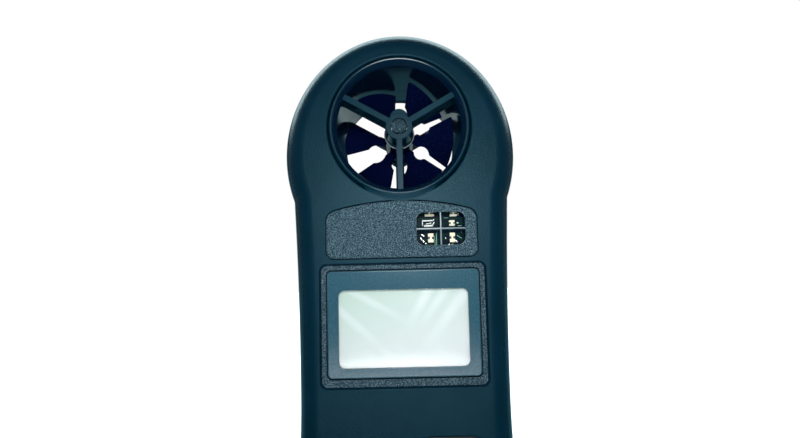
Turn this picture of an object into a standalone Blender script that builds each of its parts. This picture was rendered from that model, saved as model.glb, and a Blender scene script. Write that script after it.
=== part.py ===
"""Pocket vane anemometer, standing upright: X to its right, +Z along its length, front face towards -Y.

All driving dimensions are in millimetres; the helpers turn them into metres.
"""

from math import acos, atan2, cos, hypot, pi, radians, sin, sqrt, tan

import bmesh
import bpy
from mathutils import Matrix, Vector

MM = 0.001
GAP = 0.3

# Shell
FRONT_Y = -16.0
BACK_Y = 16.5
PARTING_Y = 1.0
WAIST_Z = 60.0
WAIST_HALF = 26.65
ARC_ABOVE_WAIST = 1012.0
ARC_BELOW_WAIST = 251.0
FOOT_Z = 19.0
FOOT_HALF = 15.0
HEAD_Z = 123.5
HEAD_HALF = 30.0
HEAD_RISE = 32.5
NECK_Z = 111.7
FRONT_SHOULDER = (5.7, 6.2)
BACK_SHOULDER = (5.5, 6.5)
FRONT_WALL_Y = -13.0
BACK_WALL_Y = 14.0
FRONT_HOLLOW = [(FRONT_WALL_Y, 4.4), (-11.5, 3.0), (-9.0, 2.2), (3.0, 2.2)]
BACK_HOLLOW = [(-1.0, 2.2), (10.0, 2.2), (12.5, 2.9), (BACK_WALL_Y, 3.8)]
COVER_FLOOR_Y = 15.0
SHOULDER_STEPS = 5
HEAD_STEPS = 18
SIDE_STEPS = 10
FOOT_STEPS = 7

# Air duct and its two guards
BORE_Z = 130.1
BORE_R = 16.0
DUCT_R = 17.6
LIP_R = 18.15
FLARE_R = 18.2
FLARE_Y = 8.0
REAR_COLLAR_R = 19.6
FRONT_FLANGE_R = 19.6
REAR_FLANGE_R = 20.6
GUARD_STEPS = 48
LIP = [(16.0, -14.6), (16.15, -15.4), (16.5, -16.1), (17.0, -16.45), (17.4, -16.5), (17.85, -16.3)]
ARM_ANGLES = (30.0, 150.0, 270.0)
FRONT_ARM = {"y": (-15.3, -10.4), "width": 2.2, "hub": 3.75, "reach": 16.6}
REAR_ARM = {"y": (8.0, 14.2), "width": 1.9, "hub": 4.0, "reach": 18.0}
HUB_HOLE_R = 2.3
CAP_R = 1.95
BEARING_R = 2.0
BEARING_BORE_R = 0.9
FRONT_BEARING_Y = (-12.7, -10.7)
REAR_BEARING_Y = (8.3, 10.3)
FRONT_CAP_Y = (-15.4, -13.3)
HUB_BOSS_R = 2.4
HUB_BOSS_RISE = 3.1
HUB_BOSS_Y = (-13.0, -10.5)
REAR_CAP_Y = (13.0, 14.3)

# Rotor
SHAFT_R = 0.6
SHAFT_Y = (-12.5, 10.1)
ROTOR_HUB_R = 4.1
ROTOR_HUB_Y = (-8.4, 4.6)
ROTOR_HOLE_R = 0.9
BLADES = 6
BLADE_PHASE = -6.2
BLADE_TIP_R = 15.2
BLADE_Y = -1.7
BLADE_PITCH = atan2(0.904, 1.0)
BLADE_THICKNESS = 0.9
BLADE_EDGE_R = 9.0
LEADING_EDGE = (3.975, 0.494)
TRAILING_EDGE = (2.565, 0.496)
BLADE_ROOT_R = 3.0
NOTCH_R = 2.4
NOTCH_CENTRE_R = 7.1
NOTCH_ANGLE = 35.2
BLADE_CORNER = 1.4

# Sensor panel and the board behind it
PANEL_HALF = 18.85
PANEL_Z = (96.4, 107.9)
PANEL_APEX_Z = 110.7
PANEL_Y = (-16.05, -15.1)
WINDOW_X = 9.85
WINDOW_Z = 103.45
WINDOW_SIZE = (12.1, 8.2)
WINDOW_BAR = 0.5
PANEL_LOW_CORNER = 2.1
PANEL_TOP_CORNER = 2.8
SENSOR_BOARD_Y = (-12.6, -11.6)
SENSOR_BOARD_X = (1.0, 18.2)
SENSOR_BOARD_Z = (97.4, 109.4)
SENSOR_FRONT_Y = SENSOR_BOARD_Y[0] - GAP
HUMIDITY_ELEMENT = ((5.3, 8.5), (104.4, 105.9), 0.7)
SENSOR_CHIP = ((6.7, 8.15), (100.2, 102.55), 0.6)
SENSOR_RESISTOR = ((12.2, 13.7), (100.15, 102.6), 0.6)
THERMISTOR_CENTRE = (12.95, 105.0)
THERMISTOR_R = 0.75
THERMISTOR_HEIGHT = 0.6

# Display
FRAME_HALF = 20.8
FRAME_Z = (64.4, 95.1)
LENS_HALF = 18.95
LENS_Z = (66.9, 93.3)
LENS_Y = (-15.3, -14.3)
LEDGE_Y = -15.0
WELL_Y = -14.0
TRAY = [(FRONT_Y - 0.5, -0.2), (LEDGE_Y - 0.2, 0.35), (LEDGE_Y, 0.45)]
DISPLAY_Z = (68.2, 89.4)
DISPLAY_HALF = 17.6
DISPLAY_RIM = 2.0
LCD_Y = (-13.9, -11.0)
HOLDER_Y = (-12.7, -9.9)
VIEW_HALF = 17.9
VIEW_Z = (67.9, 89.7)
CONNECTOR_HALF = 15.0
CONNECTOR_Y = (-10.7, -9.9)
CONNECTOR_Z = (69.2, 71.2)

# Boards inside
MAIN_BOARD_HALF = 23.2
MAIN_BOARD_Y = (-9.6, -8.0)
MAIN_BOARD_Z = (19.0, 99.5)
CHIP_HALF = 5.0
CHIP_Y = (-7.7, -6.2)
CHIP_Z = (80.0, 90.0)
PICKUP_HALF = 3.0
PICKUP_Y = (-5.0, 1.0)
PICKUP_Z = (108.6, 112.1)
MAT_HALF = 21.0
MAT_Y = (-11.0, -9.9)
MAT_Z = (23.0, 56.0)

# Keys
KEY_CENTRES = {
    "key_power": (-11.0, 48.0),
    "key_hold": (11.0, 48.0),
    "key_record": (-11.0, 31.0),
    "key_unit": (11.0, 31.0),
}
KEY_SIZE = (15.0, 9.0)
KEY_LEVELS = [(-16.5, 0.7), (-16.2, 0.2), (-15.8, 0.0), (-12.2, 0.0)]
KEY_CORNER = 3.0
KEY_SLOT = 0.35
KEY_FLANGE = 1.0

# Battery bay, base socket and screws
BAY_HALF = 14.2
BAY_Z = (12.9, 67.0)
BAY_Y = -4.9
BAY_WALL = 1.2
COVER_HALF = 16.5
COVER_Z = (9.5, 70.5)
COVER_GRIPS = 5
COVER_GRIP_Z = 58.0
COVER_GRIP_PITCH = 2.0
COVER_GRIP_HALF = 7.0
BATTERY_SIZE = (26.5, 17.5, 46.4)
BATTERY_CORNER = 2.5
BATTERY_PLAY = 0.5
BATTERY_POSTS = {"positive": (-6.35, 2.9), "negative": (6.35, 3.7)}
POST_HEIGHT = 1.9
SNAP_HALF = (12.5, 6.2)
SNAP_HEIGHT = 2.8
SOCKET_HALF = 8.2
SOCKET_Y = (-4.0, 4.5)
SOCKET_Z = (0.2, 10.8)
SOCKET_FLANGE_Z = (4.0, 5.4)
SOCKET_SLOTS = {"positive": (-4.0, 1.5), "negative": (4.0, 1.9)}
SLOT_Y = (-1.0, 1.0)
SLOT_TOP_Z = 9.0
CONTACT_Y = (0.3, 0.7)
CONTACT_Z = (1.2, 8.7)
BOSSES = ((-21.5, 104.0), (21.5, 104.0), (-21.5, 14.5), (21.5, 14.5))
BOSS_R = 2.9
SCREW_R = 1.1
SCREW_HEAD_R = 2.4
SCREW_LEDGE_Y = 3.2
SCREW_END_Y = -9.0
SCREW_HEAD_HEIGHT = 2.0
CROSS_LENGTH = 3.0
CROSS_WIDTH = 0.7
CROSS_DEPTH = 0.9


for leftover in list(bpy.data.objects):
    bpy.data.objects.remove(leftover)

PARTS = bpy.data.collections.new("vane_anemometer")
bpy.context.scene.collection.children.link(PARTS)


def material(name, colour, roughness, metallic=0.0):
    made = bpy.data.materials.new(name)
    made.use_nodes = True
    shader = made.node_tree.nodes["Principled BSDF"]
    shader.inputs["Base Color"].default_value = (*colour, 1.0)
    shader.inputs["Roughness"].default_value = roughness
    shader.inputs["Metallic"].default_value = metallic
    made.diffuse_color = (*colour, 1.0)
    return made


SHELL = material("shell_blue_grey", (0.035, 0.075, 0.105), 0.5)
PANEL = material("panel_blue_grey", (0.085, 0.13, 0.16), 0.65)
LENS = material("lens_dark", (0.05, 0.11, 0.15), 0.2)
DISPLAY = material("display_glass", (0.68, 0.8, 0.76), 0.25)
BLADE = material("rotor_dark_blue", (0.006, 0.012, 0.035), 0.35)
BLACK = material("black_plastic", (0.02, 0.02, 0.022), 0.5)
RUBBER = material("grey_rubber", (0.12, 0.13, 0.14), 0.8)
BOARD = material("green_board", (0.02, 0.11, 0.05), 0.45)
STEEL = material("steel", (0.6, 0.6, 0.6), 0.3, 1.0)
BRASS = material("brass", (0.6, 0.45, 0.2), 0.35, 1.0)
CREAM = material("cream_ceramic", (0.75, 0.72, 0.62), 0.6)
WHITE = material("white_plastic", (0.75, 0.75, 0.73), 0.5)
JACKET = material("battery_jacket", (0.35, 0.36, 0.38), 0.35, 1.0)


def register(name, bm, look=None):
    """Make a scene object from a bmesh whose coordinates are in millimetres."""
    bmesh.ops.recalc_face_normals(bm, faces=bm.faces)
    bmesh.ops.scale(bm, vec=Vector((MM, MM, MM)), verts=bm.verts)
    mesh = bpy.data.meshes.new(name)
    bm.to_mesh(mesh)
    bm.free()
    made = bpy.data.objects.new(name, mesh)
    if look is not None:
        mesh.materials.append(look)
    PARTS.objects.link(made)
    return made


def loft(name, rings, look=None, closed=False):
    """Skin between rings of equally many points, capped at both ends or joined round."""
    bm = bmesh.new()
    loops = [[bm.verts.new(point) for point in ring] for ring in rings]
    pairs = list(zip(loops, loops[1:]))
    if closed:
        pairs.append((loops[-1], loops[0]))
    else:
        bm.faces.new(loops[0])
        bm.faces.new(loops[-1])
    for lower, upper in pairs:
        for i in range(len(lower)):
            j = (i + 1) % len(lower)
            bm.faces.new((lower[i], lower[j], upper[j], upper[i]))
    return register(name, bm, look)


def inset(outline, distance):
    """Move every point of an anticlockwise outline inwards along its own normal."""
    moved = []
    count = len(outline)
    for i in range(count):
        before = outline[i - 1]
        after = outline[(i + 1) % count]
        along = (after[0] - before[0], after[1] - before[1])
        shift = distance / hypot(*along)
        moved.append((outline[i][0] - shift * along[1], outline[i][1] + shift * along[0]))
    return moved


def stack(name, outline, levels, look=None):
    """Loft an outline in X and Z through (y, inset) levels."""
    rings = [[(x, y, z) for x, z in inset(outline, distance)] for y, distance in levels]
    return loft(name, rings, look)


def prism(name, outline, span, look=None):
    return stack(name, outline, [(span[0], 0.0), (span[1], 0.0)], look)


def upright_prism(name, outline, span, look=None):
    """An outline in X and Y raised along Z."""
    return loft(name, [[(x, y, z) for x, y in outline] for z in span], look)


def circle(radius, centre, steps):
    turns = [2 * pi * i / steps for i in range(steps)]
    return [(centre[0] + radius * cos(a), centre[1] + radius * sin(a)) for a in turns]


def disc(name, radius, span, centre, steps=24, look=None):
    return prism(name, circle(radius, centre, steps), span, look)


def lathe(name, profile, centre, steps, look=None):
    """Turn a closed profile of (radius, y) round an axis along Y."""
    rings = [[(x, y, z) for x, z in circle(radius, centre, steps)] for radius, y in profile]
    return loft(name, rings, look, closed=True)


def round_corners(points, radii, steps=4):
    """Replace each corner of an anticlockwise polygon by an arc of the radius given for it."""
    outline = []
    for i, corner in enumerate(points):
        if radii[i] == 0:
            outline.append(corner)
            continue
        here = Vector(corner)
        back = (Vector(points[i - 1]) - here).normalized()
        ahead = (Vector(points[(i + 1) % len(points)]) - here).normalized()
        half = acos(max(-1.0, min(1.0, back.dot(ahead)))) / 2
        centre = here + (back + ahead).normalized() * radii[i] / sin(half)
        start = here + back * radii[i] / tan(half) - centre
        sweep = pi - 2 * half
        turn = 1 if back.x * ahead.y - back.y * ahead.x < 0 else -1
        for k in range(steps + 1):
            angle = turn * sweep * k / steps
            outline.append((
                centre.x + start.x * cos(angle) - start.y * sin(angle),
                centre.y + start.x * sin(angle) + start.y * cos(angle),
            ))
    return outline


def rectangle(x_span, z_span, radius=0.0, steps=4):
    corners = [(x_span[0], z_span[0]), (x_span[1], z_span[0]), (x_span[1], z_span[1]), (x_span[0], z_span[1])]
    return round_corners(corners, [radius] * 4, steps)


def box(name, x_span, y_span, z_span, look=None, radius=0.0):
    return prism(name, rectangle(x_span, z_span, radius), y_span, look)


def combine(target, tool, operation):
    """Apply an exact Boolean to the target and drop the tool."""
    modifier = target.modifiers.new(operation.title(), "BOOLEAN")
    modifier.operation = operation
    modifier.solver = "EXACT"
    modifier.object = tool
    bpy.context.view_layer.update()
    graph = bpy.context.evaluated_depsgraph_get()
    mesh = bpy.data.meshes.new_from_object(target.evaluated_get(graph))
    target.modifiers.clear()
    target.data = mesh
    bpy.data.objects.remove(tool)


def cut(target, tool):
    combine(target, tool, "DIFFERENCE")


def join(target, tool):
    combine(target, tool, "UNION")


def set_origin(made, point):
    """Put the object's origin at a point in millimetres without moving its shape."""
    place = Vector(point) * MM
    made.data.transform(Matrix.Translation(-place))
    made.location = place


def both_ways(value):
    return (-value, value)


def widen(span, by):
    return (span[0] - by, span[1] + by)


def side_half(z):
    arc = ARC_ABOVE_WAIST if z > WAIST_Z else ARC_BELOW_WAIST
    return WAIST_HALF + (z - WAIST_Z) ** 2 / (2 * arc)


def body_outline():
    """Anticlockwise outline of the shell from the base's middle up the right side and down the left."""
    right = [(0.0, 0.0)]
    reach = side_half(FOOT_Z) - FOOT_HALF
    for i in range(FOOT_STEPS + 1):
        angle = pi / 2 * i / FOOT_STEPS
        right.append((FOOT_HALF + reach * sin(angle), FOOT_Z * (1 - cos(angle))))
    for i in range(1, SIDE_STEPS):
        z = FOOT_Z + (NECK_Z - FOOT_Z) * i / SIDE_STEPS
        right.append((side_half(z), z))
    start = -acos(sqrt(1 - ((HEAD_Z - NECK_Z) / HEAD_RISE) ** 2))
    for i in range(HEAD_STEPS + 1):
        angle = start + (pi / 2 - start) * i / HEAD_STEPS
        right.append((HEAD_HALF * cos(angle), HEAD_Z + HEAD_RISE * sin(angle)))
    left = [(-x, z) for x, z in right[-2:0:-1]]
    return right[:-1] + [(0.0, right[-1][1])] + left


def shoulder(face_y, size):
    """(y, inset) levels of a rounded edge running from the face to the side wall."""
    inwards = 1 if face_y < 0 else -1
    levels = []
    for i in range(SHOULDER_STEPS + 1):
        angle = pi / 2 * i / SHOULDER_STEPS
        levels.append((face_y + inwards * size[1] * (1 - cos(angle)), size[0] * (1 - sin(angle))))
    return levels


def screw_holes(case, radius, span):
    for i, centre in enumerate(BOSSES):
        cut(case, disc(f"hole_{i}", radius, span, centre, 16))


def panel_outline(grow=0.0):
    """The sensor panel's outline, flat at the bottom and arched at the top."""
    half = PANEL_HALF + grow
    low = PANEL_Z[0] - grow
    arch = 12
    points = [(-half, low), (half, low)]
    radii = [PANEL_LOW_CORNER] * 2
    for i in range(arch + 1):
        across = 1 - 2 * i / arch
        rise = (PANEL_APEX_Z - PANEL_Z[1]) * (1 - across**2)
        points.append((half * across, PANEL_Z[1] + grow + rise))
        radii.append(PANEL_TOP_CORNER if i in (0, arch) else 0.0)
    return round_corners(points, radii)


def build_front_case(outline):
    levels = shoulder(FRONT_Y, FRONT_SHOULDER) + [(PARTING_Y - GAP / 2, 0.0)]
    case = stack("front_case", outline, levels, SHELL)
    cut(case, stack("hollow", outline, FRONT_HOLLOW))
    for i, centre in enumerate(BOSSES):
        join(case, disc(f"boss_{i}", BOSS_R, (FRONT_WALL_Y - 1, PARTING_Y - GAP / 2), centre, 20))
    screw_holes(case, SCREW_R + GAP, (SCREW_END_Y - 1, PARTING_Y + 1))
    through = (FRONT_Y - 1, FRONT_WALL_Y + 1)
    cut(case, disc("duct_hole", LIP_R + GAP, through, (0.0, BORE_Z), GUARD_STEPS))
    cut(case, prism("panel_recess", panel_outline(GAP), (FRONT_Y - 1, PANEL_Y[1] + GAP)))
    window_x = widen((WINDOW_X, WINDOW_X), WINDOW_SIZE[0] / 2 + 1)
    window_z = widen((WINDOW_Z, WINDOW_Z), WINDOW_SIZE[1] / 2 + 1)
    cut(case, box("sensor_hole", window_x, through, window_z))
    tray = rectangle(both_ways(FRAME_HALF), FRAME_Z, 2.5)
    cut(case, stack("display_tray", tray, TRAY))
    lens_z = widen(LENS_Z, GAP)
    cut(case, box("lens_well", both_ways(LENS_HALF + GAP), (FRONT_Y, WELL_Y), lens_z, radius=1.5))
    cut(case, box("view_hole", both_ways(VIEW_HALF), through, VIEW_Z, radius=0.7))
    for name, (x, z) in KEY_CENTRES.items():
        x_span = widen((x, x), KEY_SIZE[0] / 2 + KEY_SLOT)
        z_span = widen((z, z), KEY_SIZE[1] / 2 + KEY_SLOT)
        cut(case, box(f"{name}_hole", x_span, through, z_span, radius=KEY_CORNER + KEY_SLOT))
    cut(case, socket_hole())
    return case


def socket_hole():
    return box("socket_hole", both_ways(SOCKET_HALF + 0.4), widen(SOCKET_Y, 0.4), (-1.0, 3.5))


def build_rear_case(outline):
    levels = [(PARTING_Y + GAP / 2, 0.0)] + shoulder(BACK_Y, BACK_SHOULDER)[::-1]
    case = stack("rear_case", outline, levels, SHELL)
    cut(case, stack("hollow", outline, BACK_HOLLOW))
    for i, centre in enumerate(BOSSES):
        join(case, disc(f"boss_{i}", BOSS_R + 0.9, (PARTING_Y + GAP / 2, BACK_WALL_Y + 1), centre, 20))
    outer_y = (BAY_Y - BAY_WALL, BACK_WALL_Y + 1)
    join(case, box("bay_walls", both_ways(BAY_HALF + BAY_WALL), outer_y, widen(BAY_Z, BAY_WALL)))
    cut(case, box("bay", both_ways(BAY_HALF), (BAY_Y, BACK_Y + 1), BAY_Z))
    recess = rectangle(both_ways(COVER_HALF + GAP), widen(COVER_Z, GAP), 2.0)
    cut(case, prism("cover_recess", recess, (COVER_FLOOR_Y, BACK_Y + 1)))
    screw_holes(case, SCREW_HEAD_R + GAP, (SCREW_LEDGE_Y, BACK_Y + 1))
    screw_holes(case, SCREW_R + GAP, (PARTING_Y - 1, SCREW_LEDGE_Y + 1))
    hole = (BACK_WALL_Y - 1, BACK_Y + 1)
    cut(case, disc("duct_hole", REAR_COLLAR_R + GAP, hole, (0.0, BORE_Z), GUARD_STEPS))
    cut(case, socket_hole())
    return case


def add_spider(guard, arm, boss_span=None):
    """Join a hub, three arms and, if asked, a round boss above the hub to a guard ring; then bore the hub."""
    join(guard, disc("hub", arm["hub"], arm["y"], (0.0, BORE_Z), 32))
    if boss_span:
        join(guard, disc("boss", HUB_BOSS_R, boss_span, (0.0, BORE_Z + HUB_BOSS_RISE), 32))
    half = arm["width"] / 2
    for angle in ARM_ANGLES:
        ray = Vector((cos(radians(angle)), sin(radians(angle))))
        side = Vector((-ray.y, ray.x)) * half
        start = Vector((0.0, BORE_Z)) + ray
        end = Vector((0.0, BORE_Z)) + ray * arm["reach"]
        corners = [start - side, end - side, end + side, start + side]
        join(guard, prism("arm", [tuple(point) for point in corners], widen(arm["y"], -0.05)))
    cut(guard, disc("hub_hole", HUB_HOLE_R, widen(arm["y"], 1), (0.0, BORE_Z), 24))


def build_guards():
    joint = PARTING_Y - GAP / 2
    profile = [
        (BORE_R, joint),
        *LIP,
        (LIP_R, -15.8),
        (LIP_R, -12.7),
        (FRONT_FLANGE_R, -12.7),
        (FRONT_FLANGE_R, -11.2),
        (DUCT_R, -11.2),
        (DUCT_R, joint),
    ]
    front = lathe("front_vane_guard", profile, (0.0, BORE_Z), GUARD_STEPS, SHELL)
    add_spider(front, FRONT_ARM, HUB_BOSS_Y)
    joint = PARTING_Y + GAP / 2
    profile = [
        (BORE_R, joint),
        (DUCT_R, joint),
        (DUCT_R, 6.0),
        (REAR_COLLAR_R, 9.0),
        (REAR_COLLAR_R, 12.4),
        (REAR_FLANGE_R, 12.4),
        (REAR_FLANGE_R, 13.7),
        (REAR_COLLAR_R, 13.7),
        (REAR_COLLAR_R, BACK_Y),
        (FLARE_R, BACK_Y),
        (BORE_R, FLARE_Y),
    ]
    rear = lathe("rear_vane_guard", profile, (0.0, BORE_Z), GUARD_STEPS, SHELL)
    add_spider(rear, REAR_ARM)
    centre = (0.0, BORE_Z)
    disc("front_hub_cap", CAP_R, FRONT_CAP_Y, centre, 24, SHELL)
    disc("rear_hub_cap", CAP_R, REAR_CAP_Y, centre, 24, SHELL)
    for name, span in (("front_bearing", FRONT_BEARING_Y), ("rear_bearing", REAR_BEARING_Y)):
        bearing = disc(name, BEARING_R, span, centre, 24, STEEL)
        cut(bearing, disc("bore", BEARING_BORE_R, widen(span, 1), centre, 16))


def edge_at(edge, r):
    return edge[0] + edge[1] * (r - BLADE_EDGE_R)


def edge_at_tip(edge):
    """Distance along the blade where its edge reaches the tip circle."""
    slope = edge[1]
    base = edge[0] - slope * BLADE_EDGE_R
    a = 1 + slope**2
    return (-slope * base + sqrt((slope * base) ** 2 - a * (base**2 - BLADE_TIP_R**2))) / a


def blade_outline():
    """Anticlockwise outline in (distance from the axis, distance across the blade's own plane)."""
    lead = edge_at_tip(LEADING_EDGE)
    trail = edge_at_tip(TRAILING_EDGE)
    first = -atan2(edge_at(TRAILING_EDGE, trail), trail)
    last = atan2(edge_at(LEADING_EDGE, lead), lead)
    points = [(BLADE_ROOT_R, -edge_at(TRAILING_EDGE, BLADE_ROOT_R))]
    steps = 8
    for i in range(steps + 1):
        angle = first + (last - first) * i / steps
        points.append((BLADE_TIP_R * cos(angle), BLADE_TIP_R * sin(angle)))
    points.append((BLADE_ROOT_R, edge_at(LEADING_EDGE, BLADE_ROOT_R)))
    flat = [(r, across / cos(BLADE_PITCH)) for r, across in points]
    radii = [0.0] * len(flat)
    radii[1] = BLADE_CORNER / 2
    radii[steps + 1] = BLADE_CORNER / 2
    return round_corners(flat, radii, 3)


def notch(name, angle):
    r = NOTCH_CENTRE_R * cos(radians(angle))
    across = NOTCH_CENTRE_R * sin(radians(angle)) / cos(BLADE_PITCH)
    stretched = [(r + x, across + z / cos(BLADE_PITCH)) for x, z in circle(NOTCH_R, (0.0, 0.0), 20)]
    return prism(name, stretched, both_ways(BLADE_THICKNESS))


def build_rotor():
    rotor = disc("rotor", ROTOR_HUB_R, ROTOR_HUB_Y, (0.0, 0.0), 36, BLADE)
    blade = prism("blade", blade_outline(), both_ways(BLADE_THICKNESS / 2))
    cut(blade, notch("leading_notch", NOTCH_ANGLE))
    cut(blade, notch("trailing_notch", NOTCH_ANGLE - 360 / BLADES))
    pitch = Matrix.Rotation(BLADE_PITCH, 4, "X")
    blade.data.transform(Matrix.Translation((0.0, BLADE_Y * MM, 0.0)) @ pitch)
    combine(blade, disc("tip_circle", BLADE_TIP_R, both_ways(20), (0.0, 0.0), 96), "INTERSECT")
    for i in range(BLADES):
        copy = blade.copy()
        copy.data = blade.data.copy()
        copy.data.transform(Matrix.Rotation(-radians(BLADE_PHASE + 360 / BLADES * i), 4, "Y"))
        PARTS.objects.link(copy)
        join(rotor, copy)
    bpy.data.objects.remove(blade)
    cut(rotor, disc("bore", ROTOR_HOLE_R, widen(ROTOR_HUB_Y, 1), (0.0, 0.0), 16))
    rotor.location = (0.0, 0.0, BORE_Z * MM)
    shaft = disc("rotor_shaft", SHAFT_R, SHAFT_Y, (0.0, BORE_Z), 16, STEEL)
    set_origin(shaft, (0.0, 0.0, BORE_Z))


def build_sensor_panel():
    panel = prism("sensor_panel", panel_outline(), PANEL_Y, PANEL)
    window_x = widen((WINDOW_X, WINDOW_X), WINDOW_SIZE[0] / 2)
    window_z = widen((WINDOW_Z, WINDOW_Z), WINDOW_SIZE[1] / 2)
    cut(panel, box("window", window_x, widen(PANEL_Y, 1), window_z, radius=1.7))
    bar_x = widen((WINDOW_X, WINDOW_X), WINDOW_BAR / 2)
    bar_z = widen((WINDOW_Z, WINDOW_Z), WINDOW_BAR / 2)
    bar_y = (PANEL_Y[0] + 0.15, PANEL_Y[1] - 0.05)
    join(panel, box("level_bar", widen(window_x, 0.4), bar_y, bar_z))
    join(panel, box("upright_bar", bar_x, bar_y, widen(window_z, 0.4)))


def build_sensor_board():
    box("sensor_board", SENSOR_BOARD_X, SENSOR_BOARD_Y, SENSOR_BOARD_Z, BOARD)
    flat_parts = (
        ("humidity_element", HUMIDITY_ELEMENT, CREAM),
        ("sensor_chip", SENSOR_CHIP, BLACK),
        ("sensor_resistor", SENSOR_RESISTOR, CREAM),
    )
    for name, (x_span, z_span, height), look in flat_parts:
        box(name, x_span, (SENSOR_FRONT_Y - height, SENSOR_FRONT_Y), z_span, look)
    bead = (SENSOR_FRONT_Y - THERMISTOR_HEIGHT, SENSOR_FRONT_Y)
    disc("thermistor", THERMISTOR_R, bead, THERMISTOR_CENTRE, 16, BLACK)


def build_display():
    plate = rectangle(both_ways(LENS_HALF), LENS_Z, 1.3)
    stack("lens_plate", plate, [(LENS_Y[0], 0.25), (LENS_Y[0] + 0.25, 0.0), (LENS_Y[1], 0.0)], LENS)
    box("lcd_glass", both_ways(DISPLAY_HALF), LCD_Y, DISPLAY_Z, DISPLAY)
    outer_z = widen(DISPLAY_Z, DISPLAY_RIM)
    holder = box("lcd_holder", both_ways(DISPLAY_HALF + DISPLAY_RIM), HOLDER_Y, outer_z, WHITE)
    cut(holder, box("opening", both_ways(DISPLAY_HALF + GAP), widen(HOLDER_Y, 1), widen(DISPLAY_Z, GAP)))
    box("lcd_connector", both_ways(CONNECTOR_HALF), CONNECTOR_Y, CONNECTOR_Z, RUBBER)


def build_boards():
    box("main_board", both_ways(MAIN_BOARD_HALF), MAIN_BOARD_Y, MAIN_BOARD_Z, BOARD)
    box("measuring_chip", both_ways(CHIP_HALF), CHIP_Y, CHIP_Z, BLACK)
    box("pickup_sensor", both_ways(PICKUP_HALF), PICKUP_Y, PICKUP_Z, BLACK)
    box("keypad_mat", both_ways(MAT_HALF), MAT_Y, MAT_Z, RUBBER)


def build_keys():
    for name, (x, z) in KEY_CENTRES.items():
        x_span = widen((x, x), KEY_SIZE[0] / 2)
        z_span = widen((z, z), KEY_SIZE[1] / 2)
        face = rectangle(x_span, z_span, KEY_CORNER)
        key = stack(name, face, KEY_LEVELS, RUBBER)
        flange = (FRONT_WALL_Y + GAP, FRONT_WALL_Y + GAP + 1)
        join(key, box("flange", widen(x_span, KEY_FLANGE), flange, widen(z_span, KEY_FLANGE)))
        set_origin(key, (x, FRONT_Y, z))


def build_battery():
    width, depth, height = BATTERY_SIZE
    low_y = BAY_Y + BATTERY_PLAY
    low_z = BAY_Z[0] + BATTERY_PLAY
    section = rectangle(both_ways(width / 2), (low_y, low_y + depth), BATTERY_CORNER)
    upright_prism("battery", section, (low_z, low_z + height), JACKET)
    top = low_z + height + GAP
    middle_y = low_y + depth / 2
    for name, (x, radius) in BATTERY_POSTS.items():
        post = circle(radius, (x, middle_y), 20)
        upright_prism(f"battery_terminal_{name}", post, (top, top + POST_HEIGHT), BRASS)
    snap = rectangle(both_ways(SNAP_HALF[0]), widen((middle_y, middle_y), SNAP_HALF[1]), 3.0)
    snap_low = top + POST_HEIGHT + GAP
    upright_prism("battery_snap", snap, (snap_low, snap_low + SNAP_HEIGHT), BLACK)
    cover = rectangle(both_ways(COVER_HALF), COVER_Z, 1.7)
    levels = [(COVER_FLOOR_Y + GAP, 0.0), (BACK_Y - 0.3, 0.0), (BACK_Y, 0.3)]
    lid = stack("battery_cover", cover, levels, SHELL)
    for i in range(COVER_GRIPS):
        z = COVER_GRIP_Z + COVER_GRIP_PITCH * i
        cut(lid, box(f"grip_{i}", both_ways(COVER_GRIP_HALF), (BACK_Y - 0.6, BACK_Y + 1), (z, z + 0.9)))
    set_origin(lid, (0.0, BACK_Y, (COVER_Z[0] + COVER_Z[1]) / 2))


def build_socket():
    socket = box("thermocouple_socket", both_ways(SOCKET_HALF), SOCKET_Y, SOCKET_Z, BLACK)
    join(socket, box("flange", both_ways(SOCKET_HALF + 1.4), widen(SOCKET_Y, 1.0), SOCKET_FLANGE_Z))
    for name, (x, half) in SOCKET_SLOTS.items():
        cut(socket, box("slot", widen((x, x), half), SLOT_Y, (-1.0, SLOT_TOP_Z)))
        box(f"thermocouple_contact_{name}", widen((x, x), half - GAP), CONTACT_Y, CONTACT_Z, BRASS)


def build_screws():
    for i, (x, z) in enumerate(BOSSES):
        screw = disc(f"case_screw_{i + 1}", SCREW_R, (SCREW_END_Y, SCREW_LEDGE_Y + 1), (x, z), 16, STEEL)
        head = (SCREW_LEDGE_Y + GAP, SCREW_LEDGE_Y + GAP + SCREW_HEAD_HEIGHT)
        join(screw, disc("head", SCREW_HEAD_R, head, (x, z), 20))
        for turned in (0, 1):
            size = (CROSS_LENGTH, CROSS_WIDTH) if turned else (CROSS_WIDTH, CROSS_LENGTH)
            x_span = widen((x, x), size[0] / 2)
            z_span = widen((z, z), size[1] / 2)
            cut(screw, box("slot", x_span, (head[1] - CROSS_DEPTH, head[1] + 1), z_span))


def shade():
    """Smooth the round surfaces and keep every edge sharper than the limit."""
    for made in PARTS.objects:
        made.data.shade_smooth()
        made.data.set_sharp_from_angle(angle=radians(35))


shell_outline = body_outline()
build_front_case(shell_outline)
build_rear_case(shell_outline)
build_guards()
build_rotor()
build_sensor_panel()
build_sensor_board()
build_display()
build_boards()
build_keys()
build_battery()
build_socket()
build_screws()
shade()
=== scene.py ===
"""Detailed pocket vane anemometer around its CAD frame, on a white studio stage.

Driving dimensions are in millimetres and angles in degrees, in the frame of the CAD: X to the right,
+Z up, front face towards -Y.
"""

from math import acos, atan2, cos, hypot, pi, radians, sin, sqrt, tan

import bmesh
import bpy
from mathutils import Matrix, Vector


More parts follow.
